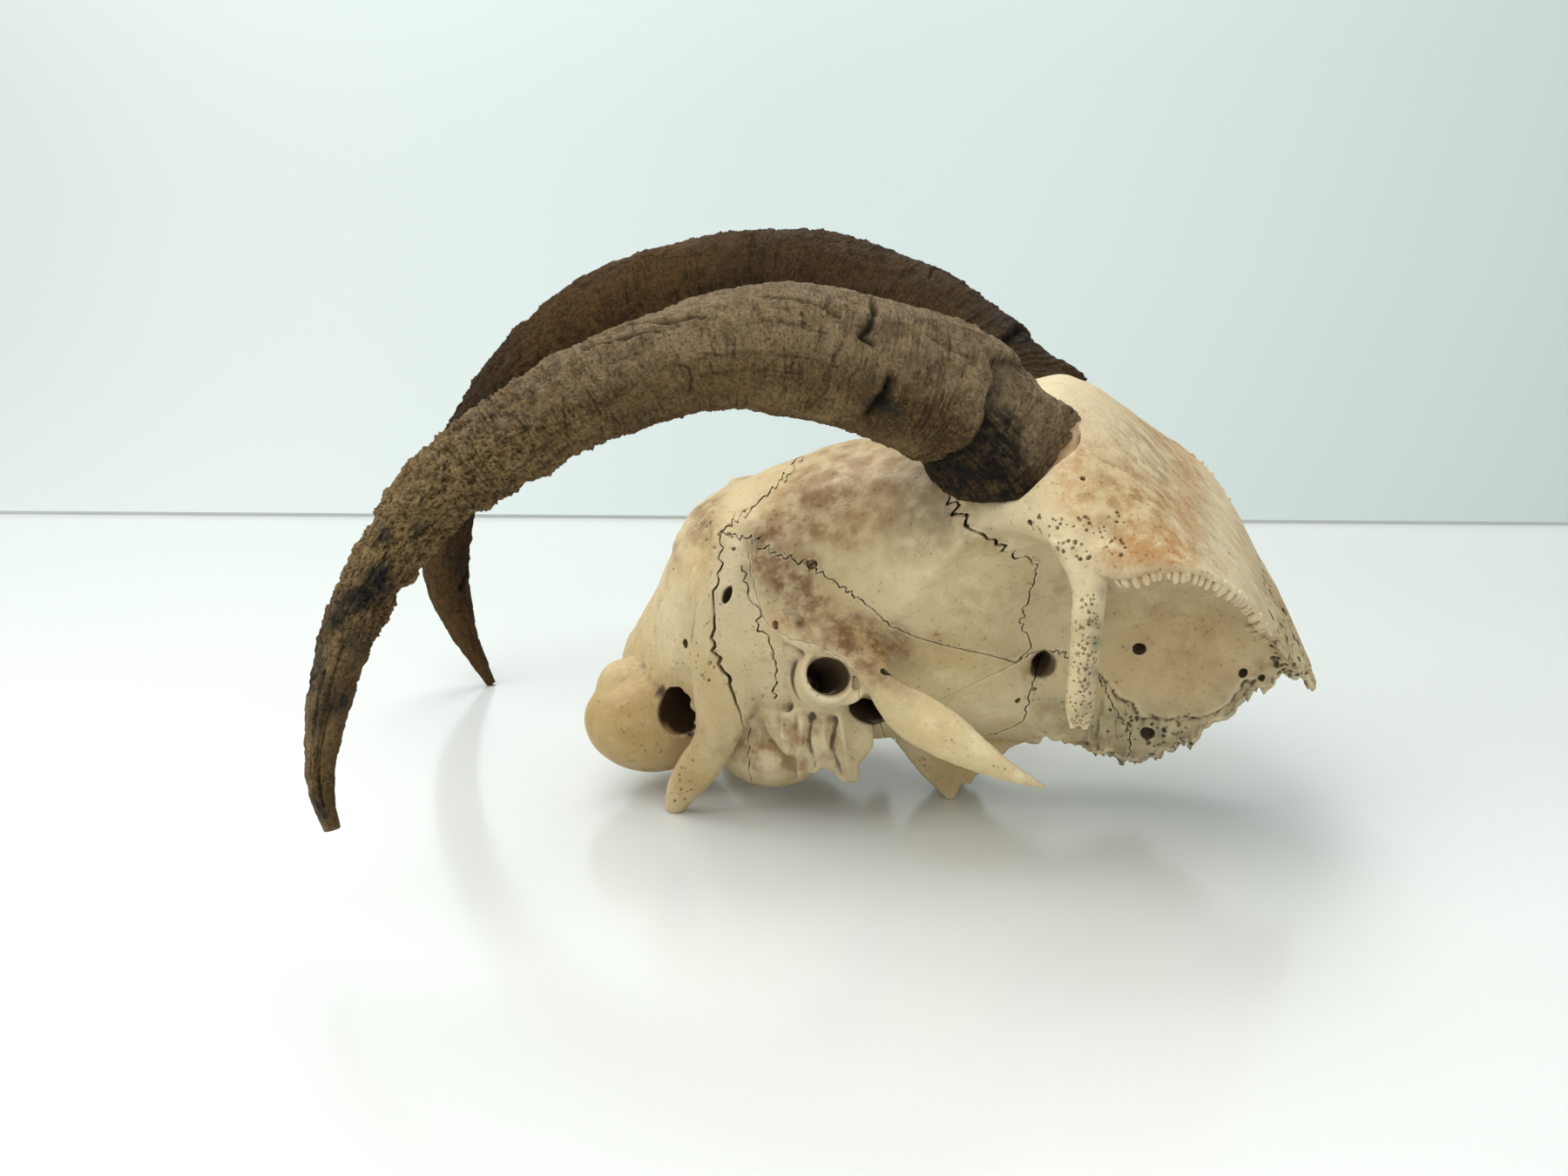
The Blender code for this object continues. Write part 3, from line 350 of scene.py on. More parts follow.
def paired_forms(side):
    """Every process that stands out from one side of the braincase."""
    forms = [
        # The occipital condyle, in two lobes, the ear bulla and the bulge behind the ear.
        side_ball(side, (-30.4, 15.4, 16.2), (15.8, 10.0, 12.6), (0, 8, -12)),
        side_ball(side, (-34.6, 13.6, 23.0), (9.2, 7.2, 8.6), (0, 24, -10)),
        side_ball(side, (1.0, 21.5, 15.0), (13.5, 9.0, 10.2), (0, -4, 8)),
        side_ball(side, (-7, 30.5, 43), (9, 5.5, 16), (0, 6, 0)),
        # The paracondylar process, which the skull rests on.
        side_bar(side, (((-7.6, 30.0, 37), (8.6, 0, -2), (1, 5.6, 0)),
                        ((-8.6, 32.2, 27), (6.2, 0, -1.8), (1, 4.1, 0)),
                        ((-10.8, 32.2, 19), (4.5, 0, -2.3), (0, 3.3, 0)),
                        ((-15.0, 31.4, 12), (4.2, 0, -2.7), (0, 2.9, 0)),
                        ((-19.0, 30.4, 6.0), (3.3, 0, -2.3), (0, 2.7, 0)),
                        ((-21.4, 29.9, 1.0), (2.2, 0, -1.2), (0, 2.3, 0)),
                        ((-22.2, 29.8, -0.6), (0.9, 0, -0.5), (0, 1.2, 0)))),
        # The ear tube, the ridge over it and the small hook before it.
        side_bar(side, (((10, 24.0, 31), (8.5, 0, 1), (0, 1, 8.0)),
                        ((14, 33.0, 36), (7.6, 1.5, 0), (0, -1.5, 7.2)),
                        ((17.4, 42.8, 41.6), (6.1, 1.4, 0), (0, -1.5, 5.7))), 48),
        side_bar(side, (((1, 32.0, 51.4), (0, 2.6, 0), (0.6, 0, 2.4)),
                        ((11, 37.2, 48.1), (0, 3.2, 0), (0.6, 0, 2.0)),
                        ((19, 40.3, 46.6), (0, 3.0, 0), (0.6, 0, 1.9)),
                        ((27, 42.3, 44.6), (0, 2.2, 0), (0.8, 0, 2.2)))),
        side_bar(side, (((22.2, 43.6, 45.4), (1.2, 0, 0.4), (0, 2.2, 0)),
                        ((25.2, 43.6, 43.4), (1.0, 0, 0.2), (0, 2.2, 0)),
                        ((25.8, 43.0, 40.0), (1.0, 0, -0.1), (0, 2.4, 0)),
                        ((23.8, 42.0, 36.8), (0.9, 0, -0.5), (0, 2.6, 0)),
                        ((20.8, 40.6, 35.2), (0.4, 0, -0.9), (0, 2.4, 0)))),
        # The zygomatic process, a twisted blade that runs out in a point.
        side_bar(side, (((19, 31.0, 52.0), (-10, 1, 1), (0, -1.4, 4.6)),
                        ((22.5, 37.4, 48.6), (-7, 4.4, 1.5), (0, -1.6, 3.4)),
                        ((27.5, 42.4, 44.2), (-3, 3.0, 0), (0.8, 0.6, 2.8)),
                        ((31, 46.0, 39.6), (-1, 2.2, 0), (1.6, 0.8, 4.4)),
                        ((37.5, 49.2, 36.4), (-0.8, 1.9, 0), (3.0, 0.8, 5.6)),
                        ((44.5, 51.6, 33.2), (-0.8, 1.9, 0), (3.0, 0.6, 5.2)),
                        ((52, 53.2, 29.4), (-0.6, 1.7, 0), (2.0, 0.4, 3.5)),
                        ((59.5, 53.8, 26.0), (-0.5, 1.3, 0), (0.9, 0, 1.9)),
                        ((66.4, 53.2, 23.1), (-0.2, 0.6, 0), (0.3, 0, 0.6))), rows=80),
        # The root of the tympanic plate, and the plate itself with its folds and flaps.
        side_bar(side, (((12, 27, 33), (15, 0, 0), (0, 4, -4)), ((14, 31, 24), (13, 0, 0), (0, 2.4, -1)),
                        ((15, 32.2, 17), (9.5, 0, 0), (0, 1.3, 0))), 40),
        slab(TYMPANIC_PLATE, side * 31.6, side * 33.4)]
    for (top_u, top_w), (low_u, low_w) in TYMPANIC_FOLDS:
        middle = (0.5 * (top_u + low_u), 33.8, 0.5 * (top_w + low_w))
        forms.append(side_bar(side, (((top_u, 33.4, top_w), (0.9, 0, 0), (0, 1.5, 0)),
                                     (middle, (0.75, 0, 0), (0, 1.2, 0)),
                                     ((low_u, 33.1, low_w), (0.4, 0, 0), (0, 0.5, 0))), 16, 24))
    for outline, near_v, far_v in ((TYMPANIC_CHIP, 33.0, 34.6), (TYMPANIC_LAPPET, 29.6, 31.8),
                                   (PTERYGOID_PLATE, 8.8, 11.7)):
        forms.append(slab(outline, side * near_v, side * far_v))
    # The bony core inside the horn.
    top, normal, across, up = seat_axes(side)
    forms.append(bar([(top - normal * 14, across * 19, up * 17),
                      (top - normal * 5, across * 15.8, up * 15.8), (top, across * 14.2, up * 14.2)], 48))
    return forms


def orbital_bar(side):
    """The broken bar of bone that hangs down behind one orbit."""
    return side_bar(side, (((70.5, 49.0, 76.5), (6.5, 0, -1), (0, 4.5, 1)),
                           ((73.0, 52.4, 69), (3.9, 0, 0), (0, 3.4, 0)),
                           ((73.0, 54.6, 61), (3.2, 0, 0), (0, 2.7, 0)),
                           ((72.7, 56.0, 52), (3.0, 0, 0), (0, 2.4, 0)),
                           ((72.4, 56.8, 44), (3.0, 0, 0), (0, 1.9, 0)),
                           ((72.3, 57.0, 38.8), (1.9, 0, 0), (0, 0.9, 0))))


cranium = make_object('cranium', joined(
    [skin([cranium_ring(u) for u in np.linspace(FIRST_STATION, LAST_STATION, STATION_COUNT)])]
    + paired_forms(RIGHT) + paired_forms(LEFT)))
fuse(cranium, BONE_VOXEL, BONE_SOFTENING)

# The openings.
# Orbits, ear openings, foramen magnum, the nasal passage and the sinuses behind the torn
# snout end are hollows in the living bone. The lower edge of the snout end is broken off.
# Stations of the nasal hollow as (U, W, half width, half height).
NASAL_HOLLOW = ((66, 36, 9, 10), (76, 40, 15, 19), (88, 40, 17.5, 27), (100, 36, 18.5, 26),
                (110, 30, 17, 21.5), (119, 24, 12.5, 16), (130, 14, 8, 14))
TORN_EDGE = ((52, -4), (55, 8), (58, 13.6), (61, 16.6), (63.5, 18.8), (66.5, 20.0), (71, 19.8), (74, 18.4),
             (76.4, 17.2), (80.9, 15.2), (85.2, 14.4), (88.5, 14.8), (91.6, 16.8), (95.7, 20.2),
             (97.7, 22.0), (102.7, 26.8), (106.7, 30.0), (109.5, 33.4), (112.5, 35.2), (116.5, 35.8),
             (120, 35.0), (123, 32.6), (125.5, 29.8), (134, 27))
# Bites out of the torn edge as (U, V, W, radius).
NOSE_BITES = ((112.6, 22.5, 35.0, 1.5), (115.4, 20.4, 34.2, 1.8), (118.2, 17.4, 35.6, 1.3),
              (121.4, 13.2, 37.2, 1.5), (119.0, 17.6, 43.0, 1.1), (123.6, 10.5, 35.2, 1.3),
              (121.8, 12.6, 41.6, 1.0), (124.8, 8.6, 38.2, 0.9), (116.0, 23.6, 39.0, 1.3),
              (113.6, 27.4, 42.6, 1.5), (116.8, 22.2, 46.2, 1.5), (110.0, 26.0, 33.2, 1.4),
              (117.2, 20.0, 44.0, 1.6), (114.2, 26.4, 49.8, 1.3), (119.6, 15.4, 45.6, 1.3),
              (111.6, 30.4, 38.6, 1.6), (108.6, 33.6, 36.6, 1.5), (113.2, 28.6, 46.2, 1.3),
              (121.0, 12.0, 44.6, 1.2), (116.6, 20.6, 50.4, 1.0))
TORN_STEP, TORN_HALF_WIDTH, SPLINTER = 0.45, 33, 2.4
NOTCH_BITES, SEAT_RADIUS = 9, 17.5
EDGE_VOXEL, EDGE_SOFTENING = 0.5, 4


def torn_edge():
    """All that is missing below the snout end, with a splintered upper face."""
    us = np.arange(TORN_EDGE[0][0], TORN_EDGE[-1][0], TORN_STEP)
    vs = np.arange(-TORN_HALF_WIDTH, TORN_HALF_WIDTH + 0.1, TORN_STEP)
    grid_u, grid_v = np.meshgrid(us, vs, indexing='ij')
    flat = np.column_stack([grid_u.ravel(), grid_v.ravel(), np.zeros(grid_u.size)])
    edge = np.interp(us, *np.array(TORN_EDGE).T)[:, None]
    splinter = 1 - np.abs(soft_noise(flat * (1, 0.35, 1), 1.5, 3)) * 2
    splinter += 0.8 * rough_noise(flat, 4.5, 5) + 0.6 * soft_noise(flat, 0.8, 8)
    top = edge + SPLINTER * splinter.reshape(grid_u.shape) * step_up(54, 60, us)[:, None]
    rows, columns = top.shape
    index = np.arange(rows * columns).reshape(rows, columns)
    quads = np.stack([index[:-1, :-1], index[1:, :-1], index[1:, 1:], index[:-1, 1:]], axis=-1).reshape(-1, 4)
    border = np.concatenate([index[0, :], index[1:, -1], index[-1, -2::-1], index[-2:0:-1, 0]])
    points = np.column_stack([grid_u.ravel(), grid_v.ravel(), top.ravel()])
    low = points[border] * (1, 1, 0) + (0, 0, -14)
    start = len(points)
    faces = quads.tolist()
    k = np.arange(len(border))
    after = (k + 1) % len(border)
    faces += np.column_stack([border[k], border[after], start + after, start + k]).tolist()
    faces.append((start + k).tolist())
    return outward(np.vstack([points, low]), faces)


def side_openings(side):
    """The hollows of one side, with a ragged rim to the condylar notch and the snout end."""
    chance = random.Random(17)
    hollows = [
        # The sinus behind the snout end, the orbit, the condylar notch and the gap below the ear.
        side_ball(side, (81, 17, 68.3), (22, 13, 8.0), (14, 24, 0)),
        side_ball(side, (91.6, 54, 47.2), (19.8, 33, 22.4), sides=96, rows=60),
        side_ball(side, (-20.6, 20, 22.6), (4.4, 14.5, 6.6), (0, 0, 14)),
        side_ball(side, (25.0, 27, 28.8), (4.6, 13, 2.8), (0, 18, 0)),
        # The ear opening and the optic canal.
        side_bar(side, (((9.5, 21.0, 31.0), (2.2, 0, 0), (0, 0, 2.2)),
                        ((12, 30, 35), (3.0, 0, 0), (0, 0, 2.9)),
                        ((16.4, 38, 39.8), (4.3, 0, 0), (0, 0, 4.1)),
                        ((18.3, 43.5, 41.9), (5.0, 0, 0), (0, 0, 4.7)),
                        ((19.0, 49, 43), (5.4, 0, 0), (0, 0, 5.2))), 40),
        side_bar(side, (((54, 8, 41), (2.0, 0, 0.6), (0, 0, 2.0)),
                        ((60, 16.5, 40.3), (2.2, 0, 0.6), (0, 0, 2.7)),
                        ((64.4, 27, 39.7), (2.7, 0, 0.6), (0, 0, 3.2))))]
    for k in range(NOTCH_BITES):
        turn = 2 * math.pi * (k + chance.uniform(-0.3, 0.3)) / NOTCH_BITES
        reach = chance.uniform(1.0, 1.7)
        hollows.append(side_ball(side, (-20.6 + 3.4 * math.cos(turn), 26.5, 22.4 + 5.8 * math.sin(turn)),
                                 (reach, 5.5, reach * 1.1), sides=20, rows=12))
    for u, v, w, reach in NOSE_BITES:
        hollows.append(side_ball(side, (u, v, w), (reach, reach * chance.uniform(0.8, 1.3), reach),
                                 sides=20, rows=12))
    return hollows


def horn_seat(side):
    """Room for the base of a horn sheath above the bone that it is slipped on to."""
    top, normal, across, up = seat_axes(side)
    low = top - normal * 0.1
    return bar([(low + normal * far, across * SEAT_RADIUS, up * SEAT_RADIUS) for far in (0, 20, 40)], 64, 6)


carve(cranium, [ball((-43, 0, 19), (29, 10.2, 10.8), (0, 6, 0)),
                bar([((u, 0, w), (0, a, 0), (0, 0, b)) for u, w, a, b in NASAL_HOLLOW], 64)]
      + side_openings(RIGHT) + side_openings(LEFT))
carve(cranium, [torn_edge()])
carve(cranium, [horn_seat(RIGHT), horn_seat(LEFT)])
carve(cranium, [orbital_bar(RIGHT), orbital_bar(LEFT)], 'UNION')
# The notch in the broken end of each orbital bar.
carve(cranium, [side_ball(side, (72.2, 57.5, 38.2), (0.8, 4, 2.2), sides=20, rows=14)
                for side in (RIGHT, LEFT)])
fuse(cranium, EDGE_VOXEL, EDGE_SOFTENING)


# The surface of the bone.
# Living bone is never smooth: it undulates, carries muscle lines and a raised nuchal crest,
# and its torn edges are spongy inside.
# Crests and lines of the side view, as (height, half width, line).
RIDGES = ((0.8, 1.4, ((-13, 68.2), (-9, 68.6), (-1.2, 69.8), (4.2, 74.1), (16.1, 78.0), (32.3, 80.6),
                      (40, 80))),
          (1.4, 2.6, ((-24, 61), (-20, 64.5), (-16, 67.0), (-12, 67.6), (-9.6, 66.2))),
          (0.7, 1.6, ((-10.4, 66), (-9.6, 60), (-10.8, 51), (-10.0, 43))),
          (0.8, 1.5, ((-24, 56), (-29, 46), (-33, 38))),
          (0.6, 1.2, ((-15.5, 58), (-18.5, 46), (-21, 36))))
LEDGE = ((75, 38), (76.9, 37.6), (80.5, 33), (83.7, 30.9), (86, 28.1), (93.7, 28.1), (97.9, 28.9),
         (101.2, 30.5), (105.2, 33.5), (107.9, 38.4), (111.5, 39.5))
LEDGE_DEPTH, SLIT_DEPTH, SLIT_HALF_WIDTH = 1.1, 0.4, 0.6
# Swells of the whole surface, as (height, size, seed, octaves).
SWELLS = ((0.32, 13, 11, 3), (0.13, 4.2, 12, 3), (0.05, 1.3, 14, 1))
TYMPANIC_SLITS = (((12.9, 29), (12.0, 22), (13.4, 15)), ((18.2, 28), (17.2, 21), (19.2, 14)))


def polyline_distance(points, line):
    """How far points in the side view lie from a line."""
    best = np.full(len(points), 1e9)
    for a, b in zip(np.array(line[:-1], float), np.array(line[1:], float)):
        run = b - a
        share = np.clip(((points - a) @ run) / (run @ run), 0, 1)
        best = np.minimum(best, np.linalg.norm(points - a - share[:, None] * run, axis=1))
    return best


def read_points(mesh):
    flat = np.empty(len(mesh.vertices) * 3)
    mesh.vertices.foreach_get('co', flat)
    return flat.reshape(-1, 3)


def read_normals(mesh):
    flat = np.empty(len(mesh.vertices) * 3, dtype=np.float32)
    mesh.vertex_normals.foreach_get('vector', flat)
    return flat.reshape(-1, 3).astype(float)


def weather(thing):
    """Raise and sink the surface of the bone along its normals."""
    points, normals = read_points(thing.data), read_normals(thing.data)
    side_view = points[:, [0, 2]]
    lift = sum(height * rough_noise(points, size, seed, octaves) for height, size, seed, octaves in SWELLS)
    outer = step_up(6, 12, np.abs(points[:, 1]))
    for height, width, line in RIDGES:
        lift += height * outer * np.exp(-(polyline_distance(side_view, line) / width) ** 2)
    u, w = side_view.T
    condyles = step_up(6, 3, np.abs(u + 30) / 4) * step_up(30, 24, w)
    lift *= 1 - 0.75 * condyles
    sideways = np.sign(points[:, 1]) * normals[:, 1] * step_up(9, 11, np.abs(points[:, 1]))
    ragged = w - np.interp(u, *np.array(LEDGE).T) + 1.1 * rough_noise(points * (1, 0.3, 1), 1.8, 26)
    below = (step_up(0.0, -0.9, ragged) * step_up(74.5, 77, u) * step_up(112, 109.5, u)
             * step_up(0.25, 0.5, sideways))
    lift -= below * (LEDGE_DEPTH + 0.45 * rough_noise(points * (1.5, 1, 0.3), 2.2, 16))
    plate = step_up(30, 31.5, np.abs(points[:, 1])) * step_up(34, 30, w)
    for line in TYMPANIC_SLITS:
        gap = polyline_distance(side_view, line) + 0.5 * rough_noise(points, 3.0, 25)
        lift -= SLIT_DEPTH * plate * np.exp(-(gap / SLIT_HALF_WIDTH) ** 2)
    back = step_up(-8, -14, u) * step_up(16, 26, w)
    streaks = rough_noise(points * (1.3, 1.3, 0.3), 4.0, 17)
    lift += back * (0.30 * streaks + 0.1 * rough_noise(points, 2.0, 18))
    torn = step_up(5.0, 1.0, w - np.interp(u, *np.array(TORN_EDGE).T)) * step_up(55, 60, u)
    lift += torn * (0.5 * rough_noise(points, 1.6, 21) - 0.1)
    points += normals * lift[:, None]
    thing.data.vertices.foreach_set('co', points.ravel())
    thing.data.update()


weather(cranium)

# The orbital rim and the holes.
# The upper rim of each orbit carries a row of small bony beads. Nerves and vessels leave the
# bone through round holes, and the thick frontal bone and the orbit's bar are pitted.
ORBIT_MIDDLE = (91.6, 47.2)
ORBIT_HALF_AXES = (19.0, 21.6)
BEAD_ARC_DEGREES = (7, 134)
BEAD_COUNT, BEAD_LENGTHS, BEAD_WIDTHS = 33, (1.3, 2.2), (0.55, 0.95)
RIM_LEAST_V, RIM_TURN = 28.0, 0.9
SPONGE_COUNT, SPONGE_SIZES, SPONGE_LEAST_U = 90, (0.3, 1.25), 108
PIT_SLANTS, PIT_LEAST_V, SLIT_SLANT, SLIT_CUT = (-60, 60), 8, 130, 2.0
# Name, U, W, half width, half height, depth and slant in degrees.
HOLES = (('mastoid', -6.4, 56.4, 1.2, 2.3, 6, 12), ('squamosal', 12.6, 63.7, 1.4, 1.2, 2.4, 0),
         ('petrous', 5.1, 50.9, 0.8, 1.2, 2.5, -25), ('coronal', 60.5, 79.3, 0.8, 0.8, 1.8, 0),
         ('behind_bar', 67.4, 71.0, 0.8, 1.1, 3, -20), ('ethmoidal', 84.9, 43.4, 1.6, 1.6, 4, 0),
         ('palatine', 87.8, 22.7, 1.8, 1.9, 3.5, 0), ('frontonasal', 112.2, 53.0, 1.0, 1.5, 3, 15),
         ('nasal_rim', 116.4, 47.4, 1.2, 1.5, 2.6, 10), ('forehead', 70.9, 88.1, 0.7, 0.6, 1.5, 0),
         ('occipital_slit', -14.8, 47.1, 0.6, 3.6, 1.4, 6), ('occipital_pit', -17.5, 42, 0.9, 1.2, 1.5, 0),
         ('temporal_pit', 31.1, 44.6, 1.6, 1.1, 2.2, 20), ('wing_pit', 62.0, 34.0, 0.7, 0.6, 1.4, 0),
         ('wing_pit_b', 58.5, 31.0, 0.6, 0.9, 1.4, 30), ('rim_pit', 120.0, 41.5, 1.0, 0.8, 2.0, 0),
         ('nose_a', 114.4, 43.6, 0.9, 1.3, 2.4, 10), ('nose_b', 117.6, 39.4, 1.0, 0.9, 2.2, 0),
         ('nose_c', 111.6, 38.8, 0.9, 0.9, 2.0, 0), ('nose_d', 119.4, 45.6, 0.7, 1.1, 2.0, 30),
         ('nose_e', 107.5, 40.0, 1.0, 1.2, 2.4, 20))
# Slits of the forehead as (U, V, half width, half length).
VEIN_SLITS = ((98.5, 21.5, 0.45, 1.7), (103.4, 22.6, 0.6, 1.3), (92, 20.0, 0.25, 1.0))
# Painted shade inside the ear openings, the optic canals, the gaps below the ears and the condylar notches,
# as (U, W, reach, distance from the midline inside which it is dark).
HOLE_SHADE_PARTS = ((18.2, 41.7, 5.5, 42.2), (14.5, 38, 6.4, 37.5), (63.6, 39.8, 3.1, 26.4),
              (25.0, 28.7, 5.0, 32), (-20.4, 22.6, 5.6, 25.0), (-20.4, 22.6, 7.4, 22.0))
# U from and to, W from and to, how many pits and their least and largest half width.
PIT_FIELDS = ((61, 80, 74.5, 82.5, 60, 0.22, 0.50), (71.4, 75.6, 40, 68, 110, 0.16, 0.36),
              (78, 108, 73, 84, 26, 0.16, 0.30), (-38, 20, 30, 62, 40, 0.14, 0.26),
              (72, 112, 20, 30, 40, 0.2, 0.5), (-16, -6, 64, 70, 14, 0.25, 0.6),
              (112.5, 122, 37, 56, 100, 0.22, 0.85), (-16, -9, 36, 46, 14, 0.2, 0.4),
              (80, 100, 17, 27, 26, 0.25, 0.55), (-22, -14, 4, 22, 16, 0.16, 0.36),
              (69.6, 72, 40, 64, 40, 0.14, 0.3))


def on_surface(tree, u, w, side):
    """The outermost place of the bone at a spot of the side view, and its outward normal."""
    return tree.ray_cast(Vector((u, side * 90, w)), Vector((0, -side, 0)), 85)[:2]


def on_front(tree, v, w):
    """The foremost place of the bone at a spot of the front view, and its outward normal."""
    return tree.ray_cast(Vector((180, v, w)), Vector((-1, 0, 0)), 90)[:2]


def on_top(tree, u, v):
    """The highest place of the bone at a spot of the plan, and its outward normal."""
    return tree.ray_cast(Vector((u, v, 180)), Vector((0, 0, -1)), 170)[:2]


def stretched_ball(unit_ball, place, *half_axes):
    """A unit ball drawn out along three half axes at a place."""
    unit, faces = unit_ball
    points = sum(np.outer(unit[:, k], half_axes[k]) for k in range(3)) + np.array(place)
    return outward(points, faces)


def pit(place, normal, width, height, depth, slant):
    """A small oval cutter that sinks into the surface along its normal."""
    inward = -Vector(normal).normalized()
    drawn = Vector((math.sin(math.radians(slant)), 0, math.cos(math.radians(slant))))
    up = (drawn - inward * inward.dot(drawn)).normalized()
    across = inward.cross(up).normalized()
    return stretched_ball(UNIT_PIT, place, np.array(across) * width, np.array(up) * height,
                          np.array(inward) * depth)


def bead(place, radial, along_rim, length, width):
    """A bony bead of the orbit's rim, drawn out away from the middle of the orbit."""
    inward = np.cross(radial, along_rim)
    return stretched_ball(UNIT_BEAD, place, along_rim * width, radial * length, inward * width * 1.25)


UNIT_PIT = ball((0, 0, 0), (1, 1, 1), sides=12, rows=8)
UNIT_BEAD = ball((0, 0, 0), (1, 1, 1), sides=14, rows=10)
tree = BVHTree.FromObject(cranium, bpy.context.evaluated_depsgraph_get())
chance = random.Random(41)
beads, pits = [], []
for side in (RIGHT, LEFT):
    for k in range(BEAD_COUNT):
        share = (k + chance.uniform(-0.34, 0.34)) / (BEAD_COUNT - 1)
        angle = math.radians(BEAD_ARC_DEGREES[0] + share * (BEAD_ARC_DEGREES[1] - BEAD_ARC_DEGREES[0]))
        c, s = math.cos(angle), math.sin(angle)
        reaches = np.arange(-1.2, 6.5, 0.3)
        found = [on_surface(tree, ORBIT_MIDDLE[0] + (ORBIT_HALF_AXES[0] + reach) * c,
                            ORBIT_MIDDLE[1] + (ORBIT_HALF_AXES[1] + reach) * s, side)[0] for reach in reaches]
        depths = [RIM_LEAST_V - 10 if hit is None else abs(hit.y) for hit in found]
        outer = [i for i in range(len(depths) - 2)
                 if depths[i] > RIM_LEAST_V and depths[i + 2] - depths[i] < RIM_TURN]
        if not outer:
            continue
        place = found[outer[0]]
        radial = np.array((c, 0, s))
        rim = np.array((-s, 0, c))
        middle = np.array(place) - radial * chance.uniform(0.1, 0.6) + np.array((0, -side * 0.1, 0))
        strong = math.sin(math.pi * min(1, max(0, share))) ** 0.35
        beads.append(bead(middle, radial, rim, chance.uniform(*BEAD_LENGTHS) * (0.6 + 0.4 * strong),
                          chance.uniform(*BEAD_WIDTHS)))
    for _, u, w, width, height, depth, slant in HOLES:
        place, normal = on_surface(tree, u, w, side)
        if place is not None:
            pits.append(pit(place, normal, width, height, depth, slant))
    for u0, u1, w0, w1, count, small, large in PIT_FIELDS:
        for _ in range(count):
            place, normal = on_surface(tree, chance.uniform(u0, u1), chance.uniform(w0, w1), side)
            size = chance.uniform(small, large)
            if place is not None and abs(place.y) > PIT_LEAST_V:
                pits.append(pit(place, normal, size, size * chance.uniform(0.8, 1.5), size * 1.8,
                                chance.uniform(*PIT_SLANTS)))
    for u, v, width, length in VEIN_SLITS:
        place, normal = on_top(tree, u, side * v)
        if place is not None:
            pits.append(pit(place, normal, width, length, SLIT_CUT, SLIT_SLANT))
    for _ in range(SPONGE_COUNT):
        place, normal = on_front(tree, side * chance.uniform(0.5, 26), chance.uniform(32, 56))
        size = chance.uniform(*SPONGE_SIZES) ** 1.3
        if place is not None and place.x > SPONGE_LEAST_U:
            pits.append(pit(place, normal, size, size * chance.uniform(0.8, 1.6), size * 1.9,
                            chance.uniform(*PIT_SLANTS)))
carve(cranium, beads, 'UNION')
carve(cranium, pits)

# The sutures.
# The bones of an adult meet in thin wavy joints. Each joint is a narrow gap cut right
# through, drawn in the side view, so that every bone stays a piece of its own.
SUTURE_GAP = 0.30
CORONAL = ((33, 112), (35, 96), (40, 84), (45.9, 77.3), (50.5, 74.2), (54, 71.5), (57.2, 67.6),
           (61.9, 65.5), (61.4, 61), (60.2, 57.1), (58.5, 50.6), (61.5, 44.6), (57.8, 41.0))
SQUAMOSAL = ((-9.6, 67.4), (-5, 66.8), (-1.2, 67.2), (2, 65.4), (5.4, 64.6), (10.5, 63.9), (15.9, 61.4),
             (21, 58.2), (26, 55.2), (31, 51), (35.8, 48.5), (41, 46.8), (47.4, 44.6), (52, 43.4),
             (57.8, 41.0))
LAMBDOID = ((12, 96), (9, 84), (3.5, 77.5), (-3, 72), (-9.6, 67.4))
MASTOID = ((-9.6, 67.4), (-8.6, 60.4), (-9.6, 55), (-8.8, 51.3), (-9.4, 47), (-9, 43.4), (-7, 39),
           (-5.6, 34.8))
PARACONDYLAR = ((-5.6, 34.8), (-4, 30), (-3.0, 25), (-3.0, -12))
BASIOCCIPITAL = ((-5.6, 34.8), (8, 27), (24, 25), (24, -12))
PETROUS = ((-3.2, 66.6), (0.2, 57), (2.6, 50.8), (9.0, 48.6), (17, 48.6), (22.4, 46.0), (24.7, 42),
           (25.0, 37), (27.5, 24.5))
SQUAMA = ((57.8, 41.0), (50, 37), (43, 33), (36, 28.5), (27.5, 24.5))
PETROUS_LOWER = ((27.5, 24.5), (28.5, -12))
ORBIT_FLOOR = ((57.8, 41.0), (62, 43.4), (68, 42.5), (73, 38), (77, 35), (80.5, 28), (84, 23), (84.5, 4))
PTERYGOID = ((64, 43.1), (61, 33), (60, 25), (54, 20.5), (46, 17.4), (36, 16.6), (29.3, 16.2), (27.2, -6))
VOMER = ((63.9, 43.1), (61, 33), (60, 25), (60, -6))
MEETING_POINTS = ((-9.6, 67.4), (-5.6, 34.8), (-3.2, 66.6), (27.5, 24.5), (57.8, 41.0), (63.9, 43.1),
                  (61, 33), (60, 25), (84.5, 4))
PETROSQUAMOUS = ((-3.2, 61.7), (-0.8, 54.6), (1.9, 53.4), (0.4, 49.8), (3.9, 46.7), (4.9, 39.6),
                 (3.6, 31.2))
CORONAL_SWING = ((0, 0.6), (0.35, 0.9), (0.42, 1.35), (0.60, 1.3), (0.66, 0.9), (0.9, 0.5), (1, 0.3))
CORONAL_GAP = ((0, 0.32), (0.38, 0.34), (0.44, 0.85), (0.58, 0.8), (0.64, 0.34), (1, 0.3))
SQUAMOSAL_SWING = ((0, 0.8), (0.10, 1.5), (0.32, 1.1), (0.5, 0.6), (0.70, 0.12), (1, 0.05))
SQUAMOSAL_GAP = ((0, 0.34), (0.4, 0.34), (1, 0.36))
MASTOID_GAP = ((0, 0.32), (0.3, 0.5), (0.62, 0.75), (0.85, 1.1), (1, 0.9))
PARACONDYLAR_GAP = ((0, 0.9), (0.2, 0.3), (1, 0.22))
WIDE, WALL_REACH, COLUMN_HALF, VOMER_HALF = 75.0, 40.5, 15.0, 8.2
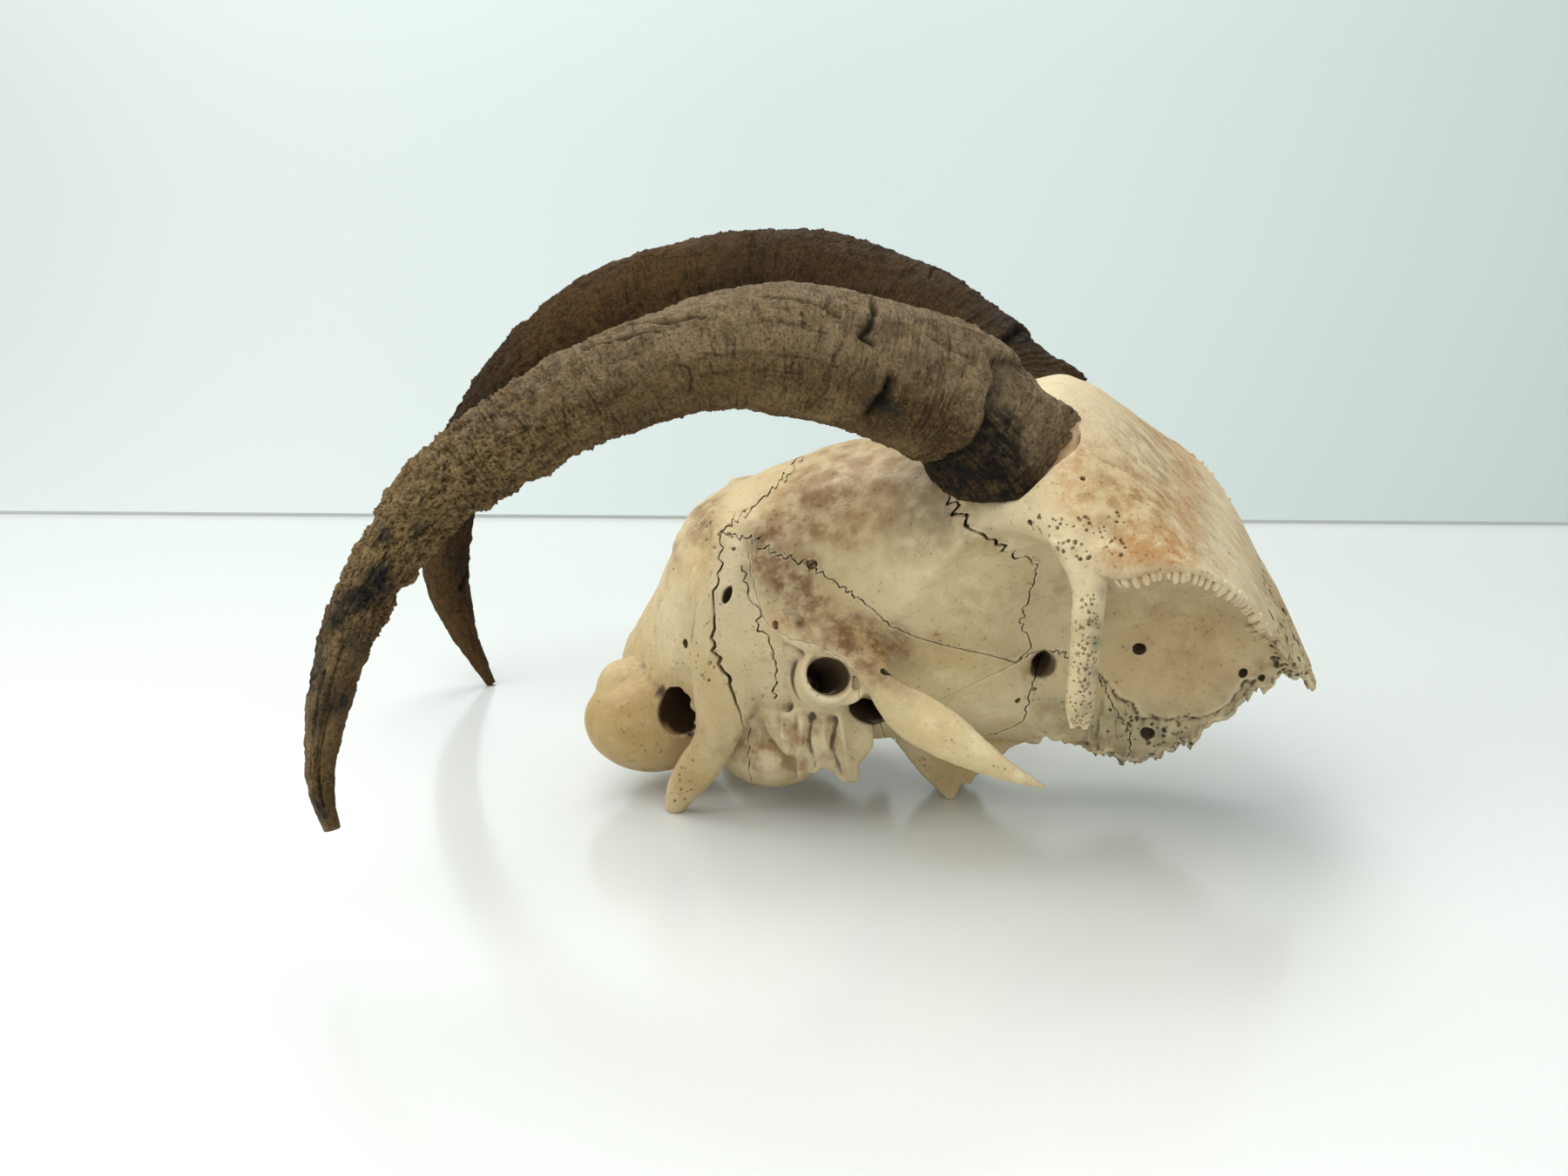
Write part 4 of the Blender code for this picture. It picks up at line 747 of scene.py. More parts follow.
RIBBON_STEP, ROW_STEP, CORNER_REACH, POLYGON_GROWTH = 0.28, 2.5, 1.6, 2.2


def reading(profile, share):
    """A plain number, or pairs of (share of the length, value) read at some shares."""
    return np.interp(share, *np.array(profile).T) if isinstance(profile, tuple) else profile


def suture(line, near_v, far_v, swing=0.0, period=3.0, gap=SUTURE_GAP, seed=1):
    """A thin wavy sheet along a line of the side view, between two distances from the midline.

    Swing and gap may change along the line, as pairs of (share of the length, millimetres)."""
    knots = np.array(line, float)
    lengths = np.concatenate([[0], np.cumsum(np.linalg.norm(np.diff(knots, axis=0), axis=1))])
    total = lengths[-1]
    s = np.linspace(0, total, max(3, int(total / RIBBON_STEP)))
    base = np.column_stack([np.interp(s, lengths, knots[:, k]) for k in range(2)])
    for _ in range(14):
        base[1:-1] = 0.25 * base[:-2] + 0.5 * base[1:-1] + 0.25 * base[2:]
    run = np.gradient(base, axis=0)
    run /= np.linalg.norm(run, axis=1)[:, None]
    base[0] -= run[0] * 0.4
    base[-1] += run[-1] * 0.4
    normal = np.column_stack([-run[:, 1], run[:, 0]])
    held = np.ones(len(s))
    for point in MEETING_POINTS:
        held *= step_up(0.5, CORNER_REACH, np.linalg.norm(base - np.array(point), axis=1))
    near_v, far_v = sorted((near_v, far_v))
    vs = np.linspace(near_v, far_v, max(2, int((far_v - near_v) / ROW_STEP) + 1))
    sheets = []
    for v in vs:
        drift = 1.1 * math.sin(v * 0.23 + seed) + 0.5 * math.sin(v * 0.71 + 2 * seed)
        phase = 2 * math.pi * (s + drift) / period + 1.5 * np.sin(2 * math.pi * s / (period * 3.7) + seed)
        wave = (np.sin(phase) + 0.28 * np.sin(2.3 * phase + seed)) * (0.62 + 0.38 * np.sin(
            2 * math.pi * s / (period * 5.3) + 1.7 * seed))
        height = reading(swing, s / total) * held * wave
        slope = np.gradient(height, s)
        half = reading(gap, s / total) / 2 * np.sqrt(1 + slope ** 2)
        rows = [base + normal * (height + half)[:, None], base + normal * (height - half)[:, None]]
        sheets.append([np.insert(row, 1, v, axis=1) for row in rows])
    sheets = np.array(sheets)
    index = np.arange(sheets[..., 0].size).reshape(sheets.shape[:3])
    faces = []
    for i, flip in ((index[:, 0], False), (index[:, 1], True), (index[0].T, False), (index[-1].T, True),
                    (index[:, :, 0], True), (index[:, :, -1], False)):
        quads = np.stack([i[:-1, :-1], i[1:, :-1], i[1:, 1:], i[:-1, 1:]], axis=-1).reshape(-1, 4)
        faces += (quads[:, ::-1] if flip else quads).tolist()
    return outward(sheets.reshape(-1, 3), faces)


def grown(outline, by):
    """A closed outline of the side view, moved outward."""
    points = np.array(outline, float)
    before, after = np.roll(points, 1, axis=0), np.roll(points, -1, axis=0)
    area = np.sum(points[:, 0] * after[:, 1] - after[:, 0] * points[:, 1])
    run = after - before
    aside = np.column_stack([run[:, 1], -run[:, 0]]) * math.copysign(1, area)
    return points + by * aside / np.linalg.norm(aside, axis=1)[:, None]


def sutures():
    """Every joint between the bones as a thin cutter."""
    half = SUTURE_GAP / 2
    cuts = [suture(CORONAL, -WIDE, WIDE, CORONAL_SWING, 3.4, CORONAL_GAP, 1),
            suture(SQUAMOSAL, -WIDE, WIDE, SQUAMOSAL_SWING, 2.4, SQUAMOSAL_GAP, 2),
            suture(LAMBDOID, -WIDE, WIDE, 0.8, 2.6, 0.32, 3),
            suture(MASTOID, -WIDE, WIDE, 0.55, 4.5, MASTOID_GAP, 4),
            suture(BASIOCCIPITAL, -COLUMN_HALF - half, COLUMN_HALF + half),
            suture(VOMER, -VOMER_HALF - half, VOMER_HALF + half),
            suture(ORBIT_FLOOR, -WALL_REACH, WALL_REACH, 0.6, 2.2, 0.3, 5)]
    forehead = list(CORONAL[:-1]) + list(ORBIT_FLOOR) + [(132, 4), (132, 112)]
    cuts.append(slab(grown(forehead, POLYGON_GROWTH), -half, half))
    flank = list(SQUAMOSAL) + list(SQUAMA[1:]) + [(28.5, -12), (-3, -12)]
    flank += list(reversed(PARACONDYLAR[:-1])) + list(reversed(MASTOID[1:-1]))
    palate = list(PTERYGOID) + [(84.5, -6)] + list(reversed(ORBIT_FLOOR[2:-1]))
    palate = grown(palate, POLYGON_GROWTH)
    for side in (RIGHT, LEFT):
        column, wall, vomer = side * COLUMN_HALF, side * WALL_REACH, side * VOMER_HALF
        cuts += [suture(PETROSQUAMOUS, side * 29, wall, 0.55, 3.2, 0.42, 12),
                 suture(PARACONDYLAR, column, wall, 0.3, 5, PARACONDYLAR_GAP, 6),
                 suture(PETROUS, column, side * WIDE, 0.25, 3.0, 0.16, 7),
                 suture(SQUAMA, column, wall, 0.15, 4.0, 0.16, 8),
                 suture(PETROUS_LOWER, column, wall),
                 slab(grown(flank, POLYGON_GROWTH), column - side * half, column + side * half),
                 suture(PTERYGOID, vomer, wall, 0.4, 3.0, 0.3, 9),
                 slab(palate, vomer - side * half, vomer + side * half)]
    return cuts


carve(cranium, sutures())


def parted(thing, least=500):
    """Split an object into its loose bodies and drop crumbs with fewer points than the least."""
    bpy.ops.object.select_all(action='DESELECT')
    thing.select_set(True)
    bpy.context.view_layer.objects.active = thing
    bpy.ops.mesh.separate(type='LOOSE')
    bodies = []
    for body in list(bpy.context.selected_objects):
        if len(body.data.vertices) >= least:
            bodies.append(body)
        else:
            bpy.data.objects.remove(body, do_unlink=True)
    return bodies


MIDLINE_PLATE = ((62, 44), (70, 50), (80, 54), (90, 55), (100, 51), (108, 44), (112, 40), (108, 37.5),
                 (102, 33), (94, 28), (86, 23.5), (74, 21.5), (64, 22))
MIDLINE_HALF, SCROLL_HEIGHTS = 0.8, (28, 35, 42, 48)


def ethmoid():
    """The upright midline plate and the scrolls at the back of the nasal hollow."""
    bodies = [slab(MIDLINE_PLATE, -MIDLINE_HALF, MIDLINE_HALF)]
    for side in (RIGHT, LEFT):
        for rank, height in enumerate(SCROLL_HEIGHTS):
            bodies.append(ball((74 + 1.5 * rank, side * (4.2 + 0.5 * rank), height),
                               (10 + rank, 4.0, 3.1), (0, -14, side * 6)))
    return bodies


# The piece and the finish of each node.
BONES = {'frontal_right': ('right_frontal_bone', 'pale_bone'),
         'frontal_left': ('left_frontal_bone', 'pale_bone'), 'parietal': ('parietal_bone', 'cream_bone'),
         'occipital': ('occipital_bone', 'cream_bone'),
         'temporal_squama_right': ('right_temporal_blade', 'stained_bone'),
         'temporal_squama_left': ('left_temporal_blade', 'stained_bone'),
         'temporal_petrous_right': ('right_ear_bone', 'pale_bone'),
         'temporal_petrous_left': ('left_ear_bone', 'pale_bone'),
         'sphenoid': ('sphenoid_bone', 'cream_bone'),
         'palatine_right': ('right_palatine_bone', 'grey_bone'),
         'palatine_left': ('left_palatine_bone', 'grey_bone'),
         'vomer': ('vomer_and_ethmoid', 'grey_bone')}
LEAST_HEIGHT = 0.00002
bones = {}


def in_row(points):
    """From the skull's millimetres to the scene's metres, in the resting pose."""
    turn = np.array(rest_pose.to_3x3())
    return points @ turn.T + np.array(rest_pose.translation)


def lay_down(thing):
    """Bring a piece into its pose, with nothing below the table."""
    rest = in_row(read_points(thing.data))
    rest[:, 2] = np.maximum(rest[:, 2], LEAST_HEIGHT)
    thing.data.vertices.foreach_set('co', rest.ravel())
    thing.data.update()
    thing.data.shade_smooth()


for body in parted(cranium):
    points = in_row(read_points(body.data))
    low, high = points.min(0), points.max(0)

    def misfit(name):
        near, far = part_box(name)
        return np.abs(low - np.array(near)).sum() + np.abs(high - np.array(far)).sum()

    best = min(BONES, key=misfit)
    body.name = BONES[best][0]
    bones[best] = body

# Shade in the holes, hollows, orbits and under the skull, and a highlight on the zygomatic blade, are painted
# into the colour as well.
# The colour of the old bone.
# Dry ivory bone, yellow and smooth where it was greasy, rusty from roots and soil along the
# temple and over the orbit, grey and porous at the bar and the broken lower edges.
# Stains of the side view as (U, W, reach, strength).
RUST_SPOTS = ((80.5, 75.6, 4.0, 0.85), (84.5, 76.0, 4.4, 0.95), (89.5, 75.2, 4.4, 0.95),
              (93.5, 74.0, 3.2, 0.7), (65.7, 91, 4.5, 0.7), (68.6, 88.6, 4, 0.6), (60, 92, 4, 0.6),
              (74, 85, 5, 0.3), (5.1, 50.9, 1.6, 0.8), (4, 45, 6, 0.25), (26, 78, 7, 0.3), (44, 84, 6, 0.3),
              (81, 83, 4, 0.35))
BROWN_SPOTS = ((20, 79.5, 6, 0.45), (30, 82, 6, 0.45), (10, 76, 5, 0.45), (-1.5, 65.6, 3.0, 0.8),
               (1.5, 64.6, 3.2, 0.9), (5.0, 61.5, 4.0, 0.9), (8.2, 58.5, 4.6, 0.95),
               (11.5, 55.0, 4.6, 0.95), (15, 52.6, 4.4, 0.85), (19.5, 51.0, 4.4, 0.95),
               (24, 49.6, 4.4, 0.95), (28.6, 48.0, 4.2, 0.85), (33.0, 46.2, 3.6, 0.6),
               (3.0, 68.2, 3.0, 0.7), (9, 69.5, 3.2, 0.5), (-17.5, 66.5, 3.6, 0.7), (-14, 68.5, 3, 0.5),
               (-22, 58, 4, 0.3), (0, 60, 3, 0.5), (14, 62, 3, 0.4), (12.8, 64.5, 2.2, 0.6),
               (30.6, 44.4, 2.6, 0.6), (62, 39.5, 3.4, 0.5), (-20.6, 22.4, 7.5, 0.6), (116, 48, 3.4, 0.5),
               (113, 42, 3, 0.4), (64, 29, 4, 0.4), (52, 71, 2.4, 0.5), (36, 42, 3, 0.4),
               (60.8, 57, 2.0, 0.3), (56, 43, 3, 0.35))
# The two wide spots in the orbit, at (88, 52) and (98, 46), are painted shade; those along the temporal line,
# from (0, 70) to (22, 77.4), are stain and painted shade below the ridge.
TAN_SPOTS = ((3, 17, 9, 0.75), (12, 24, 7, 0.5), (79.4, 84.2, 7, 0.7), (86.6, 79.6, 6, 0.55),
             (0, 70, 4, 0.7), (7, 73, 4.5, 0.7), (14, 75.6, 4.5, 0.65), (22, 77.4, 5, 0.6),
             (88, 52, 14, 0.3), (98, 46, 10, 0.3), (10, 22, 8, 0.5), (-2, 18, 8, 0.5), (98, 72, 5, 0.35),
             (74, 80, 7, 0.5), (50, 60, 9, 0.25), (-22, 58, 8, 0.3), (-34, 40, 9, 0.25), (14, 73, 9, 0.5),
             (22, 76, 9, 0.55), (32, 72, 8, 0.45), (6, 70, 6, 0.5), (40, 79, 8, 0.5), (14, 80, 7, 0.45),
             (104, 62, 4, 0.3), (66, 60, 5, 0.35), (-14, 62, 5, 0.3), (40, 52, 8, 0.25), (52, 54, 7, 0.25))
GREY_SPOTS = ((33, 75, 6, 0.45), (43, 76.4, 7, 0.65), (38, 83, 8, 0.6), (50, 82, 6, 0.4),
              (74.5, 60, 3.6, 0.8), (74.5, 52, 3.4, 0.8), (74.3, 45, 3.0, 0.7), (74.5, 67, 3.4, 0.6),
              (78, 20, 9, 0.75), (88, 19, 9, 0.8), (98, 25, 8, 0.8), (107, 32, 7, 0.7), (116, 36, 6, 0.6),
              (68, 24, 8, 0.4), (12, 14, 7, 0.35), (20, 12, 6, 0.35))
WARM_SPOTS = ((-36, 20, 13, 0.9), (-30, 12, 12, 0.9), (60, 27, 7, 0.5), (30, 40, 8, 0.35),
              (-10, 30, 10, 0.5), (-18, 9, 8, 0.6), (90, 40, 16, 0.4), (60, 50, 12, 0.35),
              (20, 76, 20, 0.25), (116, 44, 7, 0.5), (110, 56, 6, 0.4), (40, 34, 12, 0.3), (45, 8, 8, 0.6))
# Painted highlight, as pale spots on the zygomatic blade, the orbit's bar and the temple.
HIGHLIGHT_SPOTS = ((41, 37, 6, 0.7), (48, 33, 6, 0.9), (55, 29, 6, 0.9), (61, 26, 5, 0.7), (72, 66, 5, 0.6),
              (71, 52, 3, 0.7), (30, 64, 9, 0.5), (42, 62, 9, 0.5), (52, 62, 6, 0.4), (88, 66, 5, 0.3),
              (-6, 48, 7, 0.4), (74, 77, 4, 0.5))
GREEN_SPOTS = ((75.5, 57.5, 1.6, 0.7), (82, 24, 6, 0.5), (92, 20, 7, 0.5), (72, 30, 5, 0.3))


def spots(points, table, seed, ragged):
    """How strongly each point is stained, from round spots of the side view with ragged edges."""
    left = points[:, 1] > 0
    u = points[:, 0] + 2.5 * rough_noise(points, 6, seed)
    w = points[:, 2] + 2.5 * rough_noise(points, 6, seed + 5)
    clear = np.ones(len(points))
    for place_u, place_w, reach, strength in table:
        distance = np.hypot(u - place_u - 3 * left, w - place_w + 2 * left) / reach
        clear *= 1 - strength * np.exp(-distance ** 2)
    stain = 1 - clear
    return np.clip(stain * (1 + ragged * rough_noise(points, 3, seed + 9)), 0, 1)


def hollowness(thing, points, normals, rounds):
    """Positive where the surface sinks below its neighbourhood, in millimetres."""
    count = len(points)
    ends = np.empty(len(thing.data.edges) * 2, dtype=np.int32)
    thing.data.edges.foreach_get('vertices', ends)
    a, b = ends.reshape(-1, 2).T
    number = np.maximum(np.bincount(a, minlength=count) + np.bincount(b, minlength=count), 1)
    mean = points.copy()
    for _ in range(rounds):
        total = np.stack([np.bincount(a, weights=mean[b, k], minlength=count)
                          + np.bincount(b, weights=mean[a, k], minlength=count) for k in range(3)], axis=1)
        mean = total / number[:, None]
    return np.einsum('ij,ij->i', mean - points, normals)


def paint(thing, name, values):
    """Store one number per point, for the material to read."""
    layer = thing.data.attributes.new(name, 'FLOAT', 'POINT')
    layer.data.foreach_set('value', np.asarray(values, dtype=np.float32))


def stain(thing):
    """Paint one bone's stains, worn edges, painted highlight and painted shade."""
    points, normals = read_points(thing.data), read_normals(thing.data)
    for name, table, seed, ragged in (('rust', RUST_SPOTS, 31, 0.6), ('brown', BROWN_SPOTS, 36, 0.7),
                                      ('tan', TAN_SPOTS, 32, 0.9), ('grey', GREY_SPOTS, 33, 0.9),
                                      ('warm', WARM_SPOTS, 34, 0.4), ('green', GREEN_SPOTS, 35, 0.9),
                                      ('pale', HIGHLIGHT_SPOTS, 37, 0.5)):
        paint(thing, name, spots(points, table, seed, ragged))
    # Painted shade deep inside the holes.
    hole_shade = np.zeros(len(points))
    for side in (RIGHT, LEFT):
        out = side * points[:, 1]
        for u, w, reach, limit in HOLE_SHADE_PARTS:
            near = step_up(reach + 0.5, reach - 0.3, np.hypot(points[:, 0] - u, points[:, 2] - w))
            hole_shade = np.maximum(hole_shade, near * step_up(limit, limit - 1.6, out) * (out > 0))
    paint(thing, 'hole_shade', hole_shade)
    # Hollows darken, partly as dirt and partly as painted shade; raised places wear pale.
    sunk = np.clip(hollowness(thing, points, normals, 6) / 0.35, -1, 1)
    paint(thing, 'sunk', np.clip(sunk, 0, 1))
    paint(thing, 'worn', np.clip(-sunk, 0, 1))
    # Painted shade on faces that look down low on the skull, inside the nose and inside the orbits.
    under = step_up(0.1, -0.8, normals[:, 2]) * step_up(30, 18, points[:, 2])
    painted_inner_shade = (step_up(14, 8, np.abs(points[:, 1])) * step_up(56, 62, points[:, 0])
             * step_up(60, 50, points[:, 2]))
    round_orbit = np.hypot((points[:, 0] - ORBIT_MIDDLE[0]) / 20, (points[:, 2] - ORBIT_MIDDLE[1]) / 22.6)
    orbit = step_up(1.06, 0.80, round_orbit) * step_up(52, 40, np.abs(points[:, 1]))
    paint(thing, 'painted_inner_shade', np.clip(0.4 * under + painted_inner_shade + 0.38 * orbit, 0, 1))


class Graph:
    """A small writer of shader nodes."""

    def __init__(self, name):
        self.finish = bpy.data.materials.new(name)
        self.finish.use_nodes = True
        self.tree = self.finish.node_tree
        self.shader = self.tree.nodes['Principled BSDF']
        self.place = self.node('ShaderNodeTexCoord').outputs['Object']

    def node(self, kind, **settings):
        made = self.tree.nodes.new(kind)
        for key, value in settings.items():
            setattr(made, key, value)
        return made

    def put(self, socket, value):
        if isinstance(value, bpy.types.NodeSocket):
            self.tree.links.new(value, socket)
        else:
            socket.default_value = value

    def noise(self, scale, detail=4, rough=0.55, place=None):
        made = self.node('ShaderNodeTexNoise')
        self.put(made.inputs['Vector'], place or self.place)
        for key, value in (('Scale', scale), ('Detail', detail), ('Roughness', rough)):
            made.inputs[key].default_value = value
        return made.outputs['Fac']

    def cells(self, scale):
        made = self.node('ShaderNodeTexVoronoi')
        self.put(made.inputs['Vector'], self.place)
        made.inputs['Scale'].default_value = scale
        return made.outputs['Distance']

    def ramp(self, value, low, high, low_to=0.0, high_to=1.0):
        made = self.node('ShaderNodeMapRange', interpolation_type='SMOOTHSTEP')
        for key, given in zip(range(5), (value, low, high, low_to, high_to)):
            self.put(made.inputs[key], given)
        return made.outputs['Result']

    def math(self, operation, a, b=0.0):
        made = self.node('ShaderNodeMath', operation=operation)
        self.put(made.inputs[0], a)
        self.put(made.inputs[1], b)
        return made.outputs[0]

    def mix(self, share, a, b):
        made = self.node('ShaderNodeMix', data_type='RGBA')
        self.put(made.inputs['Factor'], share)
        self.put(made.inputs[6], a if isinstance(a, bpy.types.NodeSocket) else (*a, 1))
        self.put(made.inputs[7], b if isinstance(b, bpy.types.NodeSocket) else (*b, 1))
        return made.outputs[2]

    def sum(self, *parts):
        """The sum of (value, factor) pairs."""
        scaled = [value if factor == 1 else self.math('MULTIPLY', value, factor) for value, factor in parts]
        return self.math('ADD', *scaled)

    def painted(self, name):
        return self.node('ShaderNodeAttribute', attribute_name=name).outputs['Fac']

    def over(self, colour, name, amount, tone):
        """Lay a tone over a colour where a painted mask shows, by an amount."""
        return self.mix(self.math('MULTIPLY', self.painted(name), amount), colour, tone)

    def axis(self, name):
        """One coordinate of the surface, in metres."""
        made = self.node('ShaderNodeSeparateXYZ')
        self.put(made.inputs[0], self.place)
        return made.outputs[name]

    def bump(self, height, distance, strength, below=None):
        made = self.node('ShaderNodeBump')
        self.put(made.inputs['Height'], height)
        made.inputs['Distance'].default_value = distance
        made.inputs['Strength'].default_value = strength
        if below:
            self.put(made.inputs['Normal'], below)
        return made.outputs['Normal']


PALE, CREAM, YELLOW = (0.67, 0.55, 0.34), (0.58, 0.44, 0.215), (0.42, 0.275, 0.088)
TAN, RUST, GREY = (0.31, 0.185, 0.070), (0.42, 0.20, 0.055), (0.27, 0.215, 0.125)
BROWN = (0.17, 0.078, 0.022)
DIRT_AND_HOLLOW_SHADE, GREEN, MOTTLE_AND_PAINTED_SHADE = (0.065, 0.040, 0.020), (0.19, 0.22, 0.12), (0.40, 0.265, 0.115)
CHALK, PAINTED_HIGHLIGHT, PAINTED_HOLE_SHADE = (0.76, 0.68, 0.48), (0.80, 0.67, 0.40), (0.050, 0.024, 0.010)


def bone_finish(name, cream, rough, grain):
    """Dry old bone with painted stains, dark pores, a fine grain, painted shade and a painted highlight."""
    g = Graph(name)
    broad, middle, fine = g.noise(45, 5), g.noise(210, 5), g.noise(1500, 3)
    warm = g.painted('warm')
    colour = g.mix(g.ramp(g.math('ADD', broad, cream), 0.40, 0.85), PALE, CREAM)
    colour = g.over(colour, 'warm', g.ramp(broad, 0.2, 0.6, 0.55, 0.95), YELLOW)
    colour = g.mix(g.ramp(middle, 0.55, 0.78, 0.0, 0.45), colour, MOTTLE_AND_PAINTED_SHADE)
    colour = g.over(colour, 'tan', g.ramp(middle, 0.35, 0.6), TAN)
    colour = g.over(colour, 'grey', g.ramp(middle, 0.25, 0.6, 0.35, 0.95), GREY)
    colour = g.over(colour, 'brown', g.ramp(g.noise(300, 5, 0.7), 0.36, 0.58, 0.35, 0.95), BROWN)
    colour = g.over(colour, 'rust', g.ramp(g.noise(420, 5, 0.65), 0.30, 0.60, 0.25, 0.9), RUST)
    colour = g.over(colour, 'green', 0.7, GREEN)
    # Painted highlight from the pale spots.
    colour = g.over(colour, 'pale', g.ramp(middle, 0.3, 0.55, 0.9, 0.45), PAINTED_HIGHLIGHT)
    # Painted shade under the skull, inside the nose and in the orbits.
    colour = g.over(colour, 'painted_inner_shade', 0.75, MOTTLE_AND_PAINTED_SHADE)
    # Hollows darken: partly dirt, partly painted shade.
    colour = g.mix(g.ramp(g.painted('sunk'), 0.12, 0.9, 0.0, 0.92), colour, DIRT_AND_HOLLOW_SHADE)
    colour = g.mix(g.ramp(g.painted('worn'), 0.15, 0.8, 0.0, 0.30), colour, CHALK)
    # Painted shade deep inside the holes.
    colour = g.over(colour, 'hole_shade', 0.93, PAINTED_HOLE_SHADE)
    specks = g.ramp(g.cells(700), 0.10, 0.28, 1.0, 0.0)
    colour = g.mix(g.math('MULTIPLY', specks, g.ramp(middle, 0.5, 0.66, 0.0, 0.55)), colour, DIRT_AND_HOLLOW_SHADE)
    g.put(g.shader.inputs['Base Color'], colour)
    g.put(g.shader.inputs['Roughness'], g.ramp(g.sum((middle, 1), (warm, -0.45)), 0.1, 0.7,
                                               rough - 0.16, rough + 0.14))
    g.shader.inputs['Specular IOR Level'].default_value = 0.42
    g.shader.inputs['Subsurface Weight'].default_value = 0.06
    g.shader.inputs['Subsurface Radius'].default_value = (0.004, 0.0025, 0.0012)
    g.shader.inputs['Subsurface Scale'].default_value = 0.5
    height = g.sum((fine, 0.5), (g.noise(520, 5, 0.6), 1))
    height = g.sum((height, 1), (specks, -0.5))
    g.put(g.shader.inputs['Normal'], g.bump(height, 0.00035, grain))
    return g.finish


BONE_FINISHES = {'pale_bone': bone_finish('pale_dry_bone', -0.02, 0.60, 0.8),
                 'cream_bone': bone_finish('cream_dry_bone', 0.10, 0.56, 0.7),
                 'stained_bone': bone_finish('stained_dry_bone', 0.16, 0.58, 0.8),
                 'grey_bone': bone_finish('grey_porous_bone', 0.06, 0.70, 1.0)}

carve(bones['vomer'], ethmoid(), 'UNION')
for node, thing in bones.items():
    stain(thing)
    lay_down(thing)
    thing.data.materials.clear()
    thing.data.materials.append(BONE_FINISHES[BONES[node][1]])
    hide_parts(node)
    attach(thing, 'root')

# The horns.
# Each horn is a hollow sheath of horn over a bony core, grown in rings from its base and
# slipped over the core. These are old, weathered, cracked and flaking.
# Stations as (U, V, W, half depth, half thickness), from the base to the tip.
RIGHT_HORN = ((53.0, -26.0, 88.9, 16.6, 17.5), (47.6, -28.2, 95.8, 15.9, 16.8),
              (40.3, -30.5, 102.4, 15.2, 15.3), (26.3, -36.0, 108.4, 14.3, 14.1),
              (9.9, -42.0, 112.9, 13.6, 13.3), (-6.0, -47.5, 113.1, 11.7, 12.5),
              (-18.8, -51.5, 109.7, 10.7, 11.6), (-33.2, -56.0, 103.9, 10.2, 10.7),
              (-44.8, -59.8, 97.0, 9.7, 10.0), (-56.9, -64.0, 89.2, 8.5, 8.8),
              (-66.3, -69.0, 78.5, 7.1, 7.5), (-73.9, -75.0, 66.0, 6.1, 6.3),
              (-78.2, -81.0, 53.0, 5.0, 5.1), (-79.6, -88.0, 40.2, 3.7, 3.8),
              (-78.8, -92.6, 32.2, 3.0, 3.0), (-75.2, -97.0, 25.0, 1.7, 1.8))
LEFT_HORN = ((53.0, 26.0, 88.9, 16.6, 16.3), (47.0, 28.6, 94.6, 14.4, 14.2),
             (37.8, 31.9, 100.3, 13.6, 12.5), (21.0, 39.0, 108.2, 13.4, 11.5),
             (-4.2, 47.5, 113.0, 13.1, 10.7), (-33.9, 54.0, 109.3, 12.2, 9.9),
             (-55.2, 57.5, 102.3, 11.4, 9.2), (-73.2, 60.0, 91.5, 10.5, 8.5), (-87.4, 61.2, 78.7, 9.2, 7.8),
             (-98.5, 61.4, 64.1, 8.0, 7.0), (-105.2, 61.0, 49.2, 7.4, 6.2), (-108.7, 60.2, 35.0, 7.1, 5.5),
             (-108.8, 59.6, 24.6, 6.5, 5.0), (-106.5, 58.6, 13.6, 5.1, 4.1), (-102.5, 57.2, 4.4, 3.3, 2.9),
             (-96.2, 55.2, -6.4, 1.3, 1.3))
HORN_ARC_CENTRE = (-12, 20)
HORN_RINGS, HORN_SIDES = 880, 184
GROWTH_RING, UPPER_FLANK, LONG_WAY_CRACKS, ROUND_CRACKS = 1.15, 350, 70, 60
LIP_FLARE, BASE_SWELL, LEFT_SWELL = 2.6, 1.2, 0.36
BASE_TUCK = ((-180, 0), (-90, 0), (-74, -1.0), (-56, -3.0), (-30, -3.2), (-12, -1.0), (-4, 0), (180, 0))

# What growth and weather left on each sheath. Places are millimetres from the base and degrees
# round it: 0 is the outer curve and 270 the flank that shows on the right horn.
# Grooves are (depth, half width, places).
RIGHT_GROOVES = ((1.5, 0.75, ((40.2, 354), (40.2, 338), (40.8, 322), (42.6, 310), (40.0, 305))),
                 (2.3, 1.0, ((35.2, 284), (35.0, 270), (36.0, 256), (36.6, 244))),
                 (0.55, 0.35, ((77.2, 282), (75.0, 276), (74.9, 264), (76.4, 246))),
                 (0.45, 0.25, ((99.8, 290), (101.6, 268), (102.6, 252), (104.5, 228))),
                 (0.35, 0.2, ((95.2, 288), (94.6, 268))), (0.35, 0.2, ((107.5, 300), (108.6, 262))),
                 (0.9, 0.5, ((86.7, 362), (83, 352), (77.3, 332), (70.5, 324))),
                 (0.8, 0.45, ((93.0, 340), (84.0, 330), (78.0, 322))),
                 (0.6, 0.4, ((60, 338), (52, 330), (47.0, 322))),
                 (0.35, 0.3, ((73, 266), (53, 268))), (0.3, 0.3, ((70, 284), (46, 280))),
                 (0.5, 0.5, ((46.0, 300), (47.5, 280), (47.0, 258), (49.0, 232))),
                 (0.6, 0.4, ((170, 262), (196, 268))), (0.6, 0.4, ((183, 250), (204, 262))),
                 (0.4, 0.3, ((176, 285), (201, 292))), (0.35, 0.3, ((128, 290), (131, 262))),
                 (0.5, 0.3, ((30.5, 330), (24.0, 322), (20.0, 324))), (0.5, 0.3, ((26, 352), (12, 348))))
